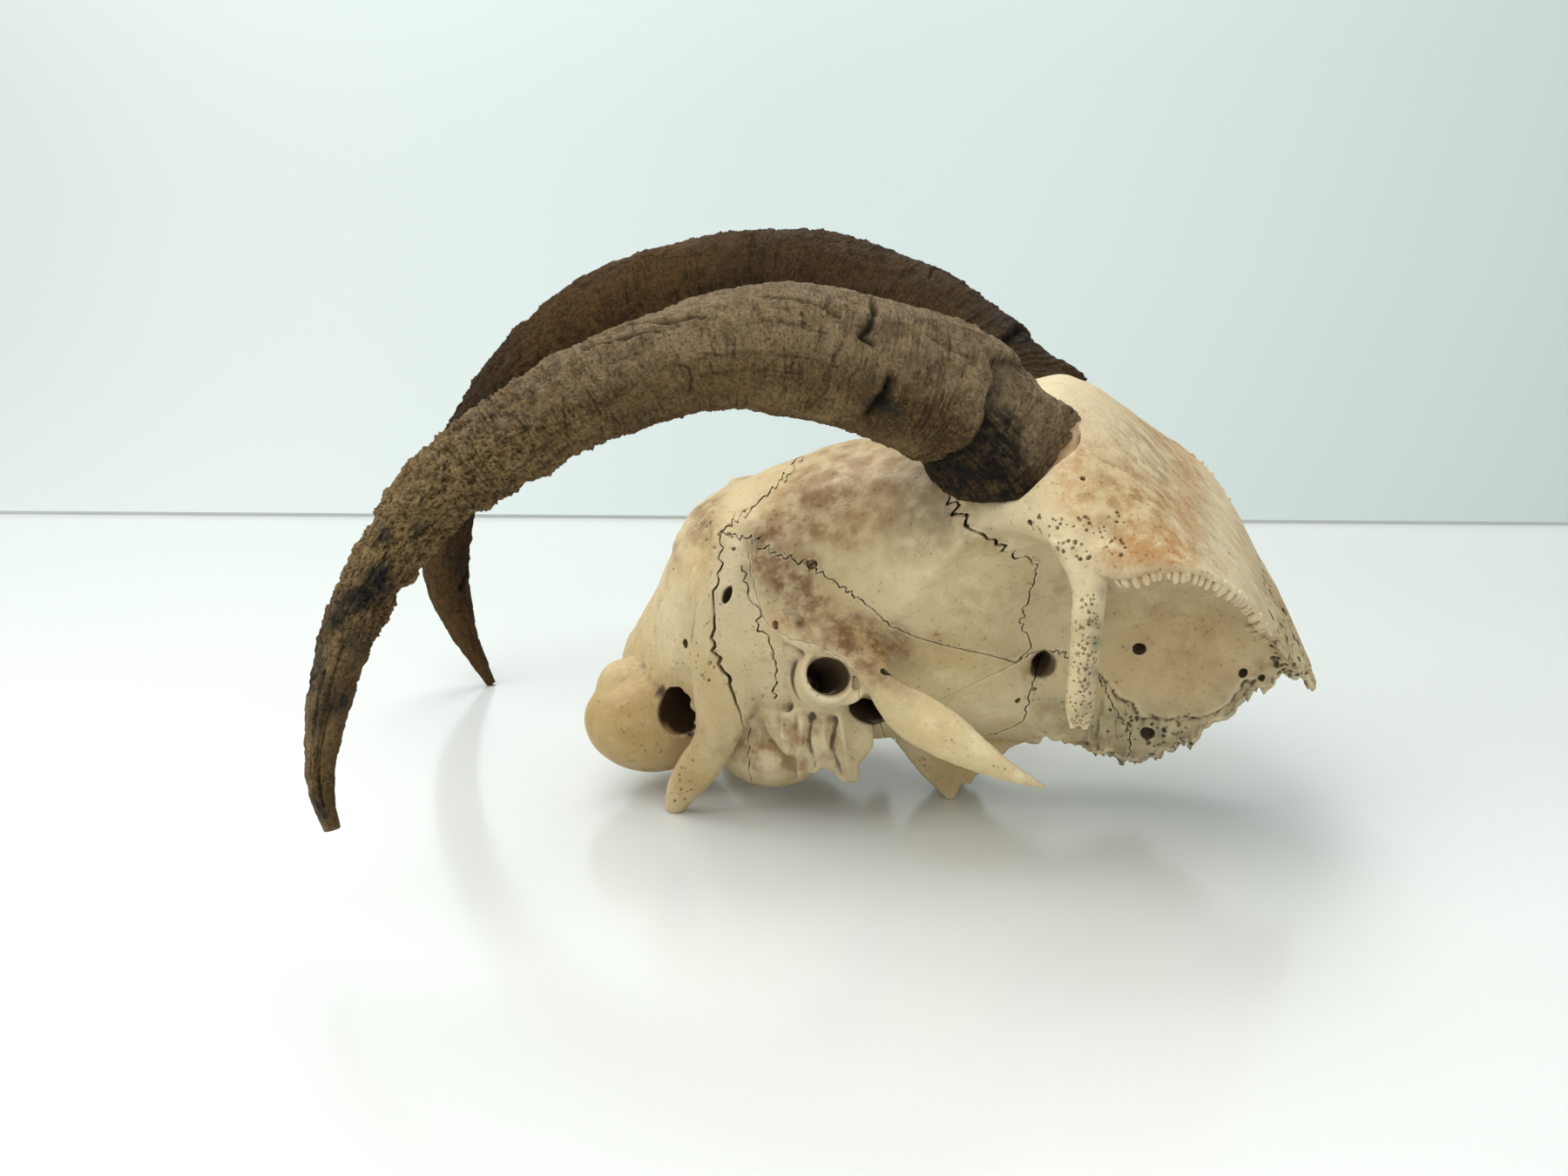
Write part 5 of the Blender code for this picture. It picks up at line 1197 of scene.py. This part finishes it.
LEFT_GROOVES = ((0.9, 0.6, ((11.5, 322), (12.1, 338), (12.8, 352), (12.6, 372))),
                (0.5, 0.4, ((31, 330), (32.5, 350), (31, 372))),
                (0.4, 0.4, ((50, 322), (53, 345), (51, 365))),
                (0.5, 0.5, ((74, 318), (76, 340), (75, 358))),
                (0.4, 0.5, ((103, 310), (105, 335), (103, 355))),
                (0.4, 0.4, ((128, 315), (130, 345))), (1.6, 0.8, ((215.9, 180), (220, 188), (224.2, 216))),
                (0.5, 0.4, ((200, 120), (226, 130))), (0.5, 0.4, ((205, 150), (235, 160))))
# The lower end of the outermost sheath, above which the horn is one layer thicker.
RIGHT_OVERLAP = ((0, 14.0), (30, 13.0), (90, 11.5), (180, 11.5), (234, 12.5), (248, 13.6), (264, 13.1),
                 (274, 14.1), (288, 15.2), (296, 16.2), (306, 16.7), (318, 17.2), (332, 18.3), (345, 16.5),
                 (360, 14.0))
LEFT_OVERLAP = ((0, 12.6), (90, 9.5), (180, 9.0), (270, 9.5), (322, 11.5), (338, 12.1), (352, 12.8),
                (360, 12.6))
# How strongly rings, flakes and long fibres show along each horn.
RIGHT_RINGED = ((0, 0.5), (16, 0.55), (20, 1.1), (33, 1.0), (42, 0.6), (86, 0.6), (93, 1.5), (118, 1.6),
                (132, 0.6), (165, 0.2), (209, 0.05))
RIGHT_FLAKED = ((0, 0.35), (20, 0.4), (50, 0.35), (90, 0.5), (108, 0.8), (122, 1.35), (160, 1.3),
                (172, 0.6), (209, 0.3))
LEFT_RINGED = ((0, 0.9), (40, 1.1), (100, 1.2), (150, 0.9), (190, 0.5), (255, 0.1))
LEFT_FLAKED = ((0, 0.3), (90, 0.5), (150, 0.9), (190, 0.9), (215, 0.5), (255, 0.3))
# Stains as (millimetres, degrees, reach, strength).
RIGHT_DARK = ((145.8, 300, 1.8, 0.7), (141.1, 254, 1.6, 0.5), (156.8, 252, 3.2, 0.8),
              (159.4, 272, 2.8, 0.8), (164.6, 302, 2.6, 0.75), (168.3, 350, 4.0, 0.7),
              (177.2, 312, 2.6, 0.7), (181.0, 248, 3.0, 0.8), (168.8, 238, 3.0, 0.7),
              (204.3, 304, 1.6, 0.95), (175, 335, 3.4, 0.6), (186, 292, 2.2, 0.5), (153, 262, 1.8, 0.6),
              (40.5, 318, 3, 0.4), (36, 262, 3.4, 0.6), (14, 330, 4, 0.2))
RIGHT_TAN = ((150, 300, 8, 0.55), (140.6, 310, 6, 0.55), (144.8, 254, 5, 0.7), (166.0, 262, 4.5, 0.8),
             (172, 285, 6.5, 0.75), (187, 268, 5, 0.5), (128, 262, 7, 0.55), (117, 252, 6, 0.6),
             (42.9, 250, 3, 0.5), (46, 228, 4, 0.6), (55.4, 236, 5, 0.5), (22, 222, 5, 0.7),
             (134, 315, 8, 0.4), (63, 282, 12, 0.25), (104, 240, 8, 0.5), (88, 262, 9, 0.25))
LEFT_DARK = ((160, 330, 10, 0.4), (176, 300, 8, 0.5), (218, 200, 6, 0.4), (196, 250, 7, 0.5),
             (12, 345, 4, 0.6))
LEFT_TAN = ((214, 330, 10, 0.6), (232, 330, 10, 0.7), (246, 320, 8, 0.6), (196, 310, 7, 0.5),
            (222, 20, 9, 0.5), (112, 320, 14, 0.5), (140, 325, 14, 0.55), (92, 330, 9, 0.35),
            (168, 318, 9, 0.45), (228, 140, 8, 0.4))
# Where the base is black and matted with fibres, as (millimetres, degrees, reach).
RIGHT_BLACK = ((9.0, 272, 7.0), (10.0, 250, 6.5), (12.0, 290, 4.2), (12.5, 228, 6.5), (4.0, 262, 6.0),
               (5, 235, 6), (6, 205, 6))
LEFT_BLACK = ((5.0, 200, 4.0),)


def unit(vectors):
    """Vectors brought to a length of 1."""
    return vectors / np.linalg.norm(vectors, axis=-1, keepdims=True)


def horn_relief(length, angle, radius, marks, seed):
    """How far the weathered surface stands out of the plain cone, in millimetres, and its masks."""
    grooves, overlap, ringed, flaked, dark, tan, black = marks
    c, s = np.cos(angle) * radius, np.sin(angle) * radius
    degrees = np.degrees(angle)
    chance = random.Random(seed)
    total = length.max()

    def grain(long_size, round_size, rank, octaves=3):
        places = np.stack([length / long_size, c / round_size, s / round_size], axis=-1)
        return rough_noise(places.reshape(-1, 3), 1.0, seed + rank, octaves).reshape(length.shape)

    def beside(line):
        best = np.full(length.shape, 1e9)
        for (l0, a0), (l1, a1) in zip(line, line[1:]):
            middle = 0.5 * (a0 + a1)
            turned = (degrees - middle + 180) % 360 - 180 - (a0 - middle)
            across, along_it = np.radians(turned) * radius, length - l0
            run_l, run_a = l1 - l0, np.radians(a1 - a0) * radius
            share = np.clip((along_it * run_l + across * run_a) / (run_l ** 2 + run_a ** 2 + 1e-9), 0, 1)
            best = np.minimum(best, np.hypot(along_it - share * run_l, across - share * run_a))
        return best

    def stained(table):
        clear = np.ones(length.shape)
        blur_l, blur_a = 2.4 * grain(7, 3, 21), 2.4 * grain(4, 4, 22)
        for place, where, reach, strength in table:
            across = np.radians((degrees - where + 180) % 360 - 180) * radius
            gap = np.hypot((length - place + blur_l) / 1.5, across + blur_a) / reach
            clear *= 1 - strength * np.exp(-gap ** 2.6)
        return np.clip((1 - clear) * (1.1 + 0.9 * grain(5, 1.4, 23)), 0, 1)

    rings_here = np.interp(length, *np.array(ringed).T) * np.clip(0.55 + 1.2 * grain(4, 6, 1, 3), 0.05, 1.5)
    phase = 2 * math.pi * (length + 0.9 * grain(8, 7, 2) + 0.35 * grain(2.4, 3, 24)) / GROWTH_RING
    coarse = 2 * math.pi * (length + 1.6 * grain(9, 10, 25)) / (3.1 * GROWTH_RING)
    lift = rings_here * (0.15 * np.sin(phase) + 0.17 * np.sin(coarse) - 0.2 * np.cos(coarse * 0.5) ** 8)
    lines = np.exp(-((phase / (2 * math.pi) % 1 - 0.5) / 0.15) ** 2) * step_up(-0.15, 0.35, grain(1.6, 5, 28))
    lines *= np.clip(rings_here, 0, 1)
    lift -= 0.22 * lines
    lift += 0.60 * grain(11, 40, 3, 2) * step_up(total, total * 0.6, length)
    lift += 0.45 * grain(30, 8, 4) + 0.2 * grain(5, 4, 26)
    flakes_here = np.interp(length, *np.array(flaked).T)
    edges, tips = np.zeros_like(length), np.zeros_like(length)
    for amount, height, field in ((3.0, 0.36, grain(5.0, 2.4, 6, 4) + 0.35 * grain(13, 8, 12)),
                                  (2.6, 0.26, grain(2.8, 1.7, 16, 3) + 0.2 * grain(6, 5, 17))):
        stepped = amount * field
        whole = np.floor(stepped)
        share = stepped - whole
        stepped = whole + step_up(0.82, 1.0, share)
        lift += height * flakes_here * stepped
        edges = np.maximum(edges, np.exp(-((share - 0.76) / 0.06) ** 2))
        tips = np.maximum(tips, np.exp(-((share - 0.04) / 0.07) ** 2))
    edges, tips = edges * np.clip(flakes_here, 0, 1), tips * np.clip(flakes_here, 0, 1)
    curls = step_up(0.26, 0.40, grain(2.6, 1.3, 13, 2)) * step_up(0.35, 1.1, flakes_here)
    lift += 0.5 * curls
    lift += 0.16 * grain(10, 1.1, 7, 3) * (0.35 + step_up(0.6 * total, total, length))
    lift += 0.10 * grain(1.0, 1.2, 27, 2)
    curls = np.clip(curls + 0.8 * tips, 0, 1)
    cracks = np.maximum(0.80 * edges, 0.75 * lines)
    short_cracks = np.zeros_like(length)
    for _ in range(LONG_WAY_CRACKS):
        start, where = chance.uniform(0.02, 0.93) * total, chance.uniform(0, 360)
        step, lean = chance.uniform(1.2, 3.2), chance.uniform(-1.5, 1.5)
        line = [(start + k * step, where + k * lean + chance.uniform(-2.2, 2.2)) for k in range(5)]
        half_width = chance.uniform(0.12, 0.24)
        short_cracks = np.maximum(short_cracks, 0.62 * np.exp(-(beside(line) / half_width) ** 2))
    for _ in range(ROUND_CRACKS):
        start, where = chance.uniform(0.04, 0.70) * total, chance.uniform(0, 360)
        step = chance.uniform(2, 6)
        line = [(start + chance.uniform(-0.35, 0.35), where + k * step) for k in range(5)]
        half_width = chance.uniform(0.12, 0.22)
        short_cracks = np.maximum(short_cracks, 0.62 * np.exp(-(beside(line) / half_width) ** 2))
    lift -= 0.42 * short_cracks
    cracks = np.maximum(cracks, short_cracks)
    for depth, half_width, line in grooves:
        near = beside(line) + 0.6 * half_width * grain(1.6, 1.6, 14)
        cut = np.exp(-(near / half_width) ** 2)
        lift += 0.25 * depth * np.exp(-((near - 2.2 * half_width) / (1.4 * half_width)) ** 2) - depth * cut
        cracks = np.maximum(cracks, np.clip(1.1 * cut ** 1.7, 0, 1) * min(0.95, depth))
    edge = np.interp(degrees % 360, *np.array(overlap).T) + 0.8 * grain(1e6, 3.0, 8)
    under = step_up(0.35, -0.35, length - edge)
    shade = under * step_up(-3.5, 0.0, length - edge)
    lift += 0.35 * step_up(0, 1, length - edge) * step_up(5, 1, length - edge) - 0.75 * under
    lift -= 0.35 * shade
    matted = np.zeros_like(length)
    for place, where, reach in black:
        across = np.radians((degrees - where + 180) % 360 - 180) * radius
        matted = np.maximum(matted, np.exp(-(np.hypot(length - place, across * 0.8) / reach) ** 4))
    matted *= under
    lift += matted * (0.35 * grain(1.6, 0.7, 9, 2) - 0.2) + under * 0.14 * np.sin(phase * 0.8)
    # The upper flank turns ashy, partly weathering and partly painted light from above.
    upper = np.clip(0.5 + 0.75 * np.cos(angle - math.radians(UPPER_FLANK)), 0, 1)
    masks = {'crack': cracks, 'matted': matted, 'shade': shade, 'upper': upper, 'dark': stained(dark),
             'tan': stained(tan), 'bark': np.clip(flakes_here - 0.3, 0, 1), 'curl': curls}
    return lift, masks


def horn(name, stations, side, seed, marks):
    """One sheath, as rings of points along the horn's arc with the relief of its surface."""
    rows = through(stations, HORN_RINGS)
    centre, depth, thickness = rows[:, :3], rows[:, 3], rows[:, 4]
    length = np.concatenate([[0], np.cumsum(np.linalg.norm(np.diff(centre, axis=0), axis=1))])
    total = length[-1]
    seat = unit(np.array(mirrored(side, [HORN_TILT])[0]))
    run = unit(np.gradient(centre, axis=0))
    share = np.minimum(1, length / total / 0.10)[:, None]
    run = unit(seat * (1 - share) + run * share)
    away = centre - np.column_stack([np.full(HORN_RINGS, HORN_ARC_CENTRE[0]), centre[:, 1],
                                     np.full(HORN_RINGS, HORN_ARC_CENTRE[1])])
    away = unit(away - run * np.einsum('ij,ij->i', away, run)[:, None])
    beside = np.cross(run, away)
    centre = centre + seat * SUTURE_GAP * step_up(4, 0, length)[:, None]
    angles = np.linspace(0, 2 * math.pi, HORN_SIDES, endpoint=False)
    far, angle = np.meshgrid(length, angles, indexing='ij')
    keel = 1 + 0.05 * np.cos(angle) ** 3
    across, along_side = depth[:, None] * keel * np.cos(angle), thickness[:, None] * np.sin(angle)
    radius = np.hypot(across, along_side)
    lift, masks = horn_relief(far, angle, np.maximum(radius, 1.5), marks, seed)
    fade = step_up(0, 6, total - far) * 0.85 + 0.15
    turned = (np.degrees(angle) + 180) % 360 - 180
    lip = np.exp(-((turned - 3) / 10) ** 2) * step_up(8, 2.5, far)
    lip -= 1.2 * np.exp(-((turned + 4) / 4) ** 2 - (far / 2.2) ** 2)
    tucked = np.interp(turned, *np.array(BASE_TUCK).T) * step_up(7, 0.5, far)
    swollen = step_up(60, 90, np.abs(turned)) * step_up(9, 0, far) * np.sqrt(np.clip((far + 0.3) / 3.0, 0, 1))
    flare = LIP_FLARE * lip + (tucked + BASE_SWELL * swollen if side == RIGHT else LEFT_SWELL * swollen)
    grow = 1 + (lift * fade + flare) / np.maximum(radius, 2.0)
    points = (centre[:, None] + away[:, None] * (across * grow)[..., None]
              + beside[:, None] * (along_side * grow)[..., None])
    thing = make_object(name, skin(points))
    for key, values in masks.items():
        paint(thing, key, np.concatenate([values.ravel(), [values[0].mean(), values[-1].mean()]]))
    grain = np.stack([far / 1000, np.cos(angle) * 0.012, np.sin(angle) * 0.012], axis=-1).reshape(-1, 3)
    grain = np.vstack([grain, [0, 0, 0], [total / 1000, 0, 0]])
    layer = thing.data.attributes.new('strand', 'FLOAT_VECTOR', 'POINT')
    layer.data.foreach_set('vector', grain.astype(np.float32).ravel())
    lay_down(thing)
    return thing


FIBRE_GAP, BARK_GAP, PORE = (0.030, 0.017, 0.007), (0.026, 0.014, 0.005), (0.030, 0.018, 0.008)
SOOT, EDGE_SHADE, CRACK = (0.016, 0.016, 0.018), (0.022, 0.018, 0.013), (0.010, 0.007, 0.005)
MATTED_FIBRE = (0.007, 0.005, 0.004)
# Dark and tan ground, an ashy upper flank that is partly painted top light, straw-coloured scales and pale
# flecks.
RIGHT_TONES = ((0.058, 0.029, 0.007), (0.180, 0.105, 0.033), (0.46, 0.34, 0.20), (0.46, 0.31, 0.135),
               (0.38, 0.25, 0.105))
LEFT_TONES = ((0.022, 0.010, 0.002), (0.060, 0.028, 0.005), (0.09, 0.052, 0.016), (0.20, 0.10, 0.026),
              (0.15, 0.085, 0.026))


def horn_finish(name, dark, tan, ash_and_top_light, straw, fleck):
    """Weathered horn: fibres along, rings round, an ashy flank partly painted as top light, straw scales,
    black cracks.
    """
    g = Graph(name)
    strand = g.node('ShaderNodeAttribute', attribute_name='strand').outputs['Vector']

    def stretched(along_horn, round_horn):
        scaled = g.node('ShaderNodeVectorMath', operation='MULTIPLY')
        g.put(scaled.inputs[0], strand)
        scaled.inputs[1].default_value = (along_horn, round_horn, round_horn)
        return scaled.outputs[0]

    broad, middle, fine = g.noise(42, 4), g.noise(260, 5, 0.62), g.noise(1300, 4, 0.65)
    fibres = g.noise(1, 5, 0.65, stretched(170, 1500))
    rings = g.noise(1, 5, 0.65, stretched(1400, 150))
    patchy = g.noise(1, 5, 0.7, stretched(900, 300))
    scales = g.noise(1, 4, 0.6, stretched(430, 680))
    weave = g.sum((fibres, 0.45), (rings, 0.55))
    colour = g.mix(g.ramp(g.sum((broad, 0.5), (weave, 0.5)), 0.40, 0.60), dark, tan)
    # Ash on the upper flank: partly weathering, partly painted top light.
    upper = g.ramp(g.painted('upper'), 0.60, 1.0, 0.06, 0.8)
    colour = g.mix(g.math('MULTIPLY', g.ramp(middle, 0.36, 0.60, 0.35, 0.9), upper), colour, ash_and_top_light)
    colour = g.over(colour, 'tan', g.ramp(weave, 0.36, 0.56, 0.25, 0.95), straw)
    for field, low, high, share, tone in ((weave, 0.54, 0.66, 0.65, FIBRE_GAP),
                                          (patchy, 0.47, 0.36, 0.6, BARK_GAP),
                                          (fine, 0.53, 0.68, 0.6, fleck),
                                          (fine, 0.46, 0.32, 0.75, PORE)):
        colour = g.mix(g.ramp(field, low, high, 0.0, share), colour, tone)
    colour = g.over(colour, 'bark', g.ramp(scales, 0.53, 0.62, 0.0, 0.75), straw)
    colour = g.over(colour, 'bark', g.ramp(scales, 0.46, 0.38, 0.0, 0.85), dark)
    colour = g.over(colour, 'curl', 0.65, fleck)
    colour = g.over(colour, 'dark', g.ramp(middle, 0.30, 0.50, 0.45, 0.97), SOOT)
    colour = g.over(colour, 'shade', 0.65, EDGE_SHADE)
    matting = g.ramp(g.sum((fibres, 0.45), (middle, 0.55)), 0.46, 0.60, 0.98, 0.40)
    colour = g.over(colour, 'matted', matting, MATTED_FIBRE)
    colour = g.over(colour, 'crack', 0.93, CRACK)
    g.put(g.shader.inputs['Base Color'], colour)
    g.put(g.shader.inputs['Roughness'], g.ramp(g.sum((middle, 1), (fibres, 0.3)), 0.4, 0.9, 0.52, 0.80))
    g.shader.inputs['Specular IOR Level'].default_value = 0.18
    strands = g.bump(g.sum((rings, 1.2), (fibres, 0.9)), 0.0016, 0.9)
    g.put(g.shader.inputs['Normal'], g.bump(g.sum((fine, 1), (middle, 0.8)), 0.0009, 0.85, strands))
    return g.finish


for node, name, stations, side, seed, tones, marks in (
        ('horn_right', 'right_horn', RIGHT_HORN, RIGHT, 3, RIGHT_TONES,
         (RIGHT_GROOVES, RIGHT_OVERLAP, RIGHT_RINGED, RIGHT_FLAKED, RIGHT_DARK, RIGHT_TAN, RIGHT_BLACK)),
        ('horn_left', 'left_horn', LEFT_HORN, LEFT, 8, LEFT_TONES,
         (LEFT_GROOVES, LEFT_OVERLAP, LEFT_RINGED, LEFT_FLAKED, LEFT_DARK, LEFT_TAN, LEFT_BLACK))):
    sheath = horn(name, stations, side, seed, marks)
    sheath.data.materials.append(horn_finish(name + '_finish', *tones))
    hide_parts(node)
    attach(sheath, 'root')

# The table and the wall.
# A white coated table top with a soft gloss stands before a pale grey-green painted wall. Painted
# shade darkens the table towards the back and the wall towards the right, and a thin grey strip
# along the table's back edge is a painted shadow line.
TABLE_BACK_EDGE, TABLE_THICKNESS, TABLE_DEPTH = ((-0.383, 0.262), (0.2617, 0.3536)), 0.02, 3.0
WALL_DISTANCE, WALL_LOW, WALL_HIGH, SEAM_SHADOW_HEIGHT = 1.7, -0.9, 1.1, 0.0014
(x0, y0), (x1, y1) = TABLE_BACK_EDGE
edge_run = Vector((x1 - x0, y1 - y0, 0))
edge_left, edge_right = Vector((x0, y0, 0)) - edge_run * 3, Vector((x1, y1, 0)) + edge_run * 3
backward = Vector((-edge_run.y, edge_run.x, 0)).normalized()


def plate(name, corners, faces, finish):
    """A flat-sided piece of the set."""
    mesh = bpy.data.meshes.new(name)
    mesh.from_pydata([tuple(corner) for corner in corners], [], faces)
    mesh.materials.append(finish)
    made = bpy.data.objects.new(name, mesh)
    bpy.context.scene.collection.objects.link(made)
    return made


def upright(name, left, right, low, high, finish):
    """A flat upright sheet between two places of the floor plan."""
    corners = [place + Vector((0, 0, height))
               for place, height in ((left, low), (right, low), (right, high), (left, high))]
    return plate(name, corners, [(0, 1, 2, 3)], finish)


g = Graph('white_table')
# The table darkens towards the back: painted shade.
table_tone_with_painted_shade = g.mix(g.ramp(g.axis('Y'), -0.28, 0.30), (0.77, 0.79, 0.775), (0.56, 0.59, 0.575))
g.put(g.shader.inputs['Base Color'], g.mix(g.noise(5, 3), table_tone_with_painted_shade, g.mix(0.1, table_tone_with_painted_shade, (1, 1, 1))))
g.put(g.shader.inputs['Roughness'], g.ramp(g.noise(9, 3), 0.3, 0.7, 0.13, 0.18))
top = [edge_left, edge_right, edge_right - backward * TABLE_DEPTH, edge_left - backward * TABLE_DEPTH]
table = plate('table', top + [corner - Vector((0, 0, TABLE_THICKNESS)) for corner in top],
              [(3, 2, 1, 0), (4, 5, 6, 7), (0, 1, 5, 4), (1, 2, 6, 5), (2, 3, 7, 6), (3, 0, 4, 7)], g.finish)
g = Graph('pale_wall')
# The wall is lighter on the left and darker to the right: painted light and shade.
wall_tone_with_painted_light = g.mix(g.ramp(g.axis('X'), -1.2, -0.2), (0.92, 0.99, 0.97), (0.75, 0.839, 0.821))
wall_tone_with_painted_light = g.mix(g.ramp(g.axis('X'), -0.3, 1.1), wall_tone_with_painted_light, (0.665, 0.75, 0.745))
g.put(g.shader.inputs['Base Color'], g.mix(g.noise(1, 3), wall_tone_with_painted_light, g.mix(0.04, wall_tone_with_painted_light, (1, 1, 1))))
g.shader.inputs['Roughness'].default_value = 0.8
wall_left = edge_left + backward * WALL_DISTANCE - edge_run * 4
wall_right = edge_right + backward * WALL_DISTANCE + edge_run * 4
wall = upright('wall', wall_left, wall_right, WALL_LOW, WALL_HIGH, g.finish)
# A thin grey strip standing at the table's back edge: a painted shadow line of the seam.
g = Graph('painted_seam_shadow')
g.put(g.shader.inputs['Base Color'], g.mix(g.noise(30, 3), (0.46, 0.49, 0.48), (0.54, 0.57, 0.56)))
seam_shadow = upright('seam_shadow_strip', edge_left, edge_right, 0, SEAM_SHADOW_HEIGHT, g.finish)

# The view and the light.
# A camera with a 40 mm lens looks down on the right side. Soft lamps stand above and behind the
# skull and before it, two thin ones light the wall, and the room adds a dim even light.
EYE, HEADING_DEGREES, PITCH_DEGREES, LENS = Vector((0.06668, -0.38721, 0.156)), 10.0, 14.7, 40.0
WARM, NEUTRAL, COOL = (1.0, 0.985, 0.96), (1.0, 0.99, 0.97), (0.97, 1.0, 0.985)
# Name, place, aim, size, watts and colour of each lamp.
LAMPS = (('back_key', (-0.22, 0.80, 1.10), (0, 0, 0.04), (0.7, 0.5), 6.6, NEUTRAL),
         ('overhead', (-0.40, -0.15, 1.20), (0, 0, 0), (1.4, 1.1), 11.0, NEUTRAL),
         ('front_fill', (0.35, -1.35, 0.75), (0, 0, 0.05), (1.4, 1.0), 4.8, (1.0, 0.99, 0.96)),
         ('left_fill', (-1.05, -0.55, 0.70), (0, 0, 0.05), (0.7, 0.7), 4.4, WARM),
         ('right_fill', (1.25, -0.1, 0.55), (0, 0, 0.05), (0.5, 0.5), 0.8, NEUTRAL),
         ('wall_top', (-0.5, 1.25, 1.25), (-0.3, 2.05, 0.55), (3.4, 0.3), 14.0, COOL),
         ('wall_foot', (-0.5, 1.25, -0.75), (-0.4, 2.05, -0.15), (3.4, 0.3), 4.2, COOL))
ROOM_COLOUR, ROOM_STRENGTH = (0.93, 0.975, 0.955, 1), 0.50
camera_data = bpy.data.cameras.new('eye')
camera_data.lens = LENS
camera_data.sensor_width = 36.0
camera_data.clip_start = 0.01
camera = bpy.data.objects.new('eye', camera_data)
bpy.context.scene.collection.objects.link(camera)
camera.location = EYE
camera.rotation_euler = (math.radians(90 - PITCH_DEGREES), 0, math.radians(HEADING_DEGREES))
bpy.context.scene.camera = camera
for name, place, aim, size, watts, colour in LAMPS:
    data = bpy.data.lights.new(name, 'AREA')
    data.shape = 'RECTANGLE'
    data.size, data.size_y = size
    data.energy = watts
    data.color = colour
    lamp = bpy.data.objects.new(name, data)
    bpy.context.scene.collection.objects.link(lamp)
    lamp.location = place
    lamp.rotation_euler = (Vector(aim) - Vector(place)).to_track_quat('-Z', 'Y').to_euler()
world = bpy.data.worlds.new('room')
world.use_nodes = True
world.node_tree.nodes['Background'].inputs['Color'].default_value = ROOM_COLOUR
world.node_tree.nodes['Background'].inputs['Strength'].default_value = ROOM_STRENGTH
bpy.context.scene.world = world
bpy.context.scene.view_settings.view_transform = 'Standard'
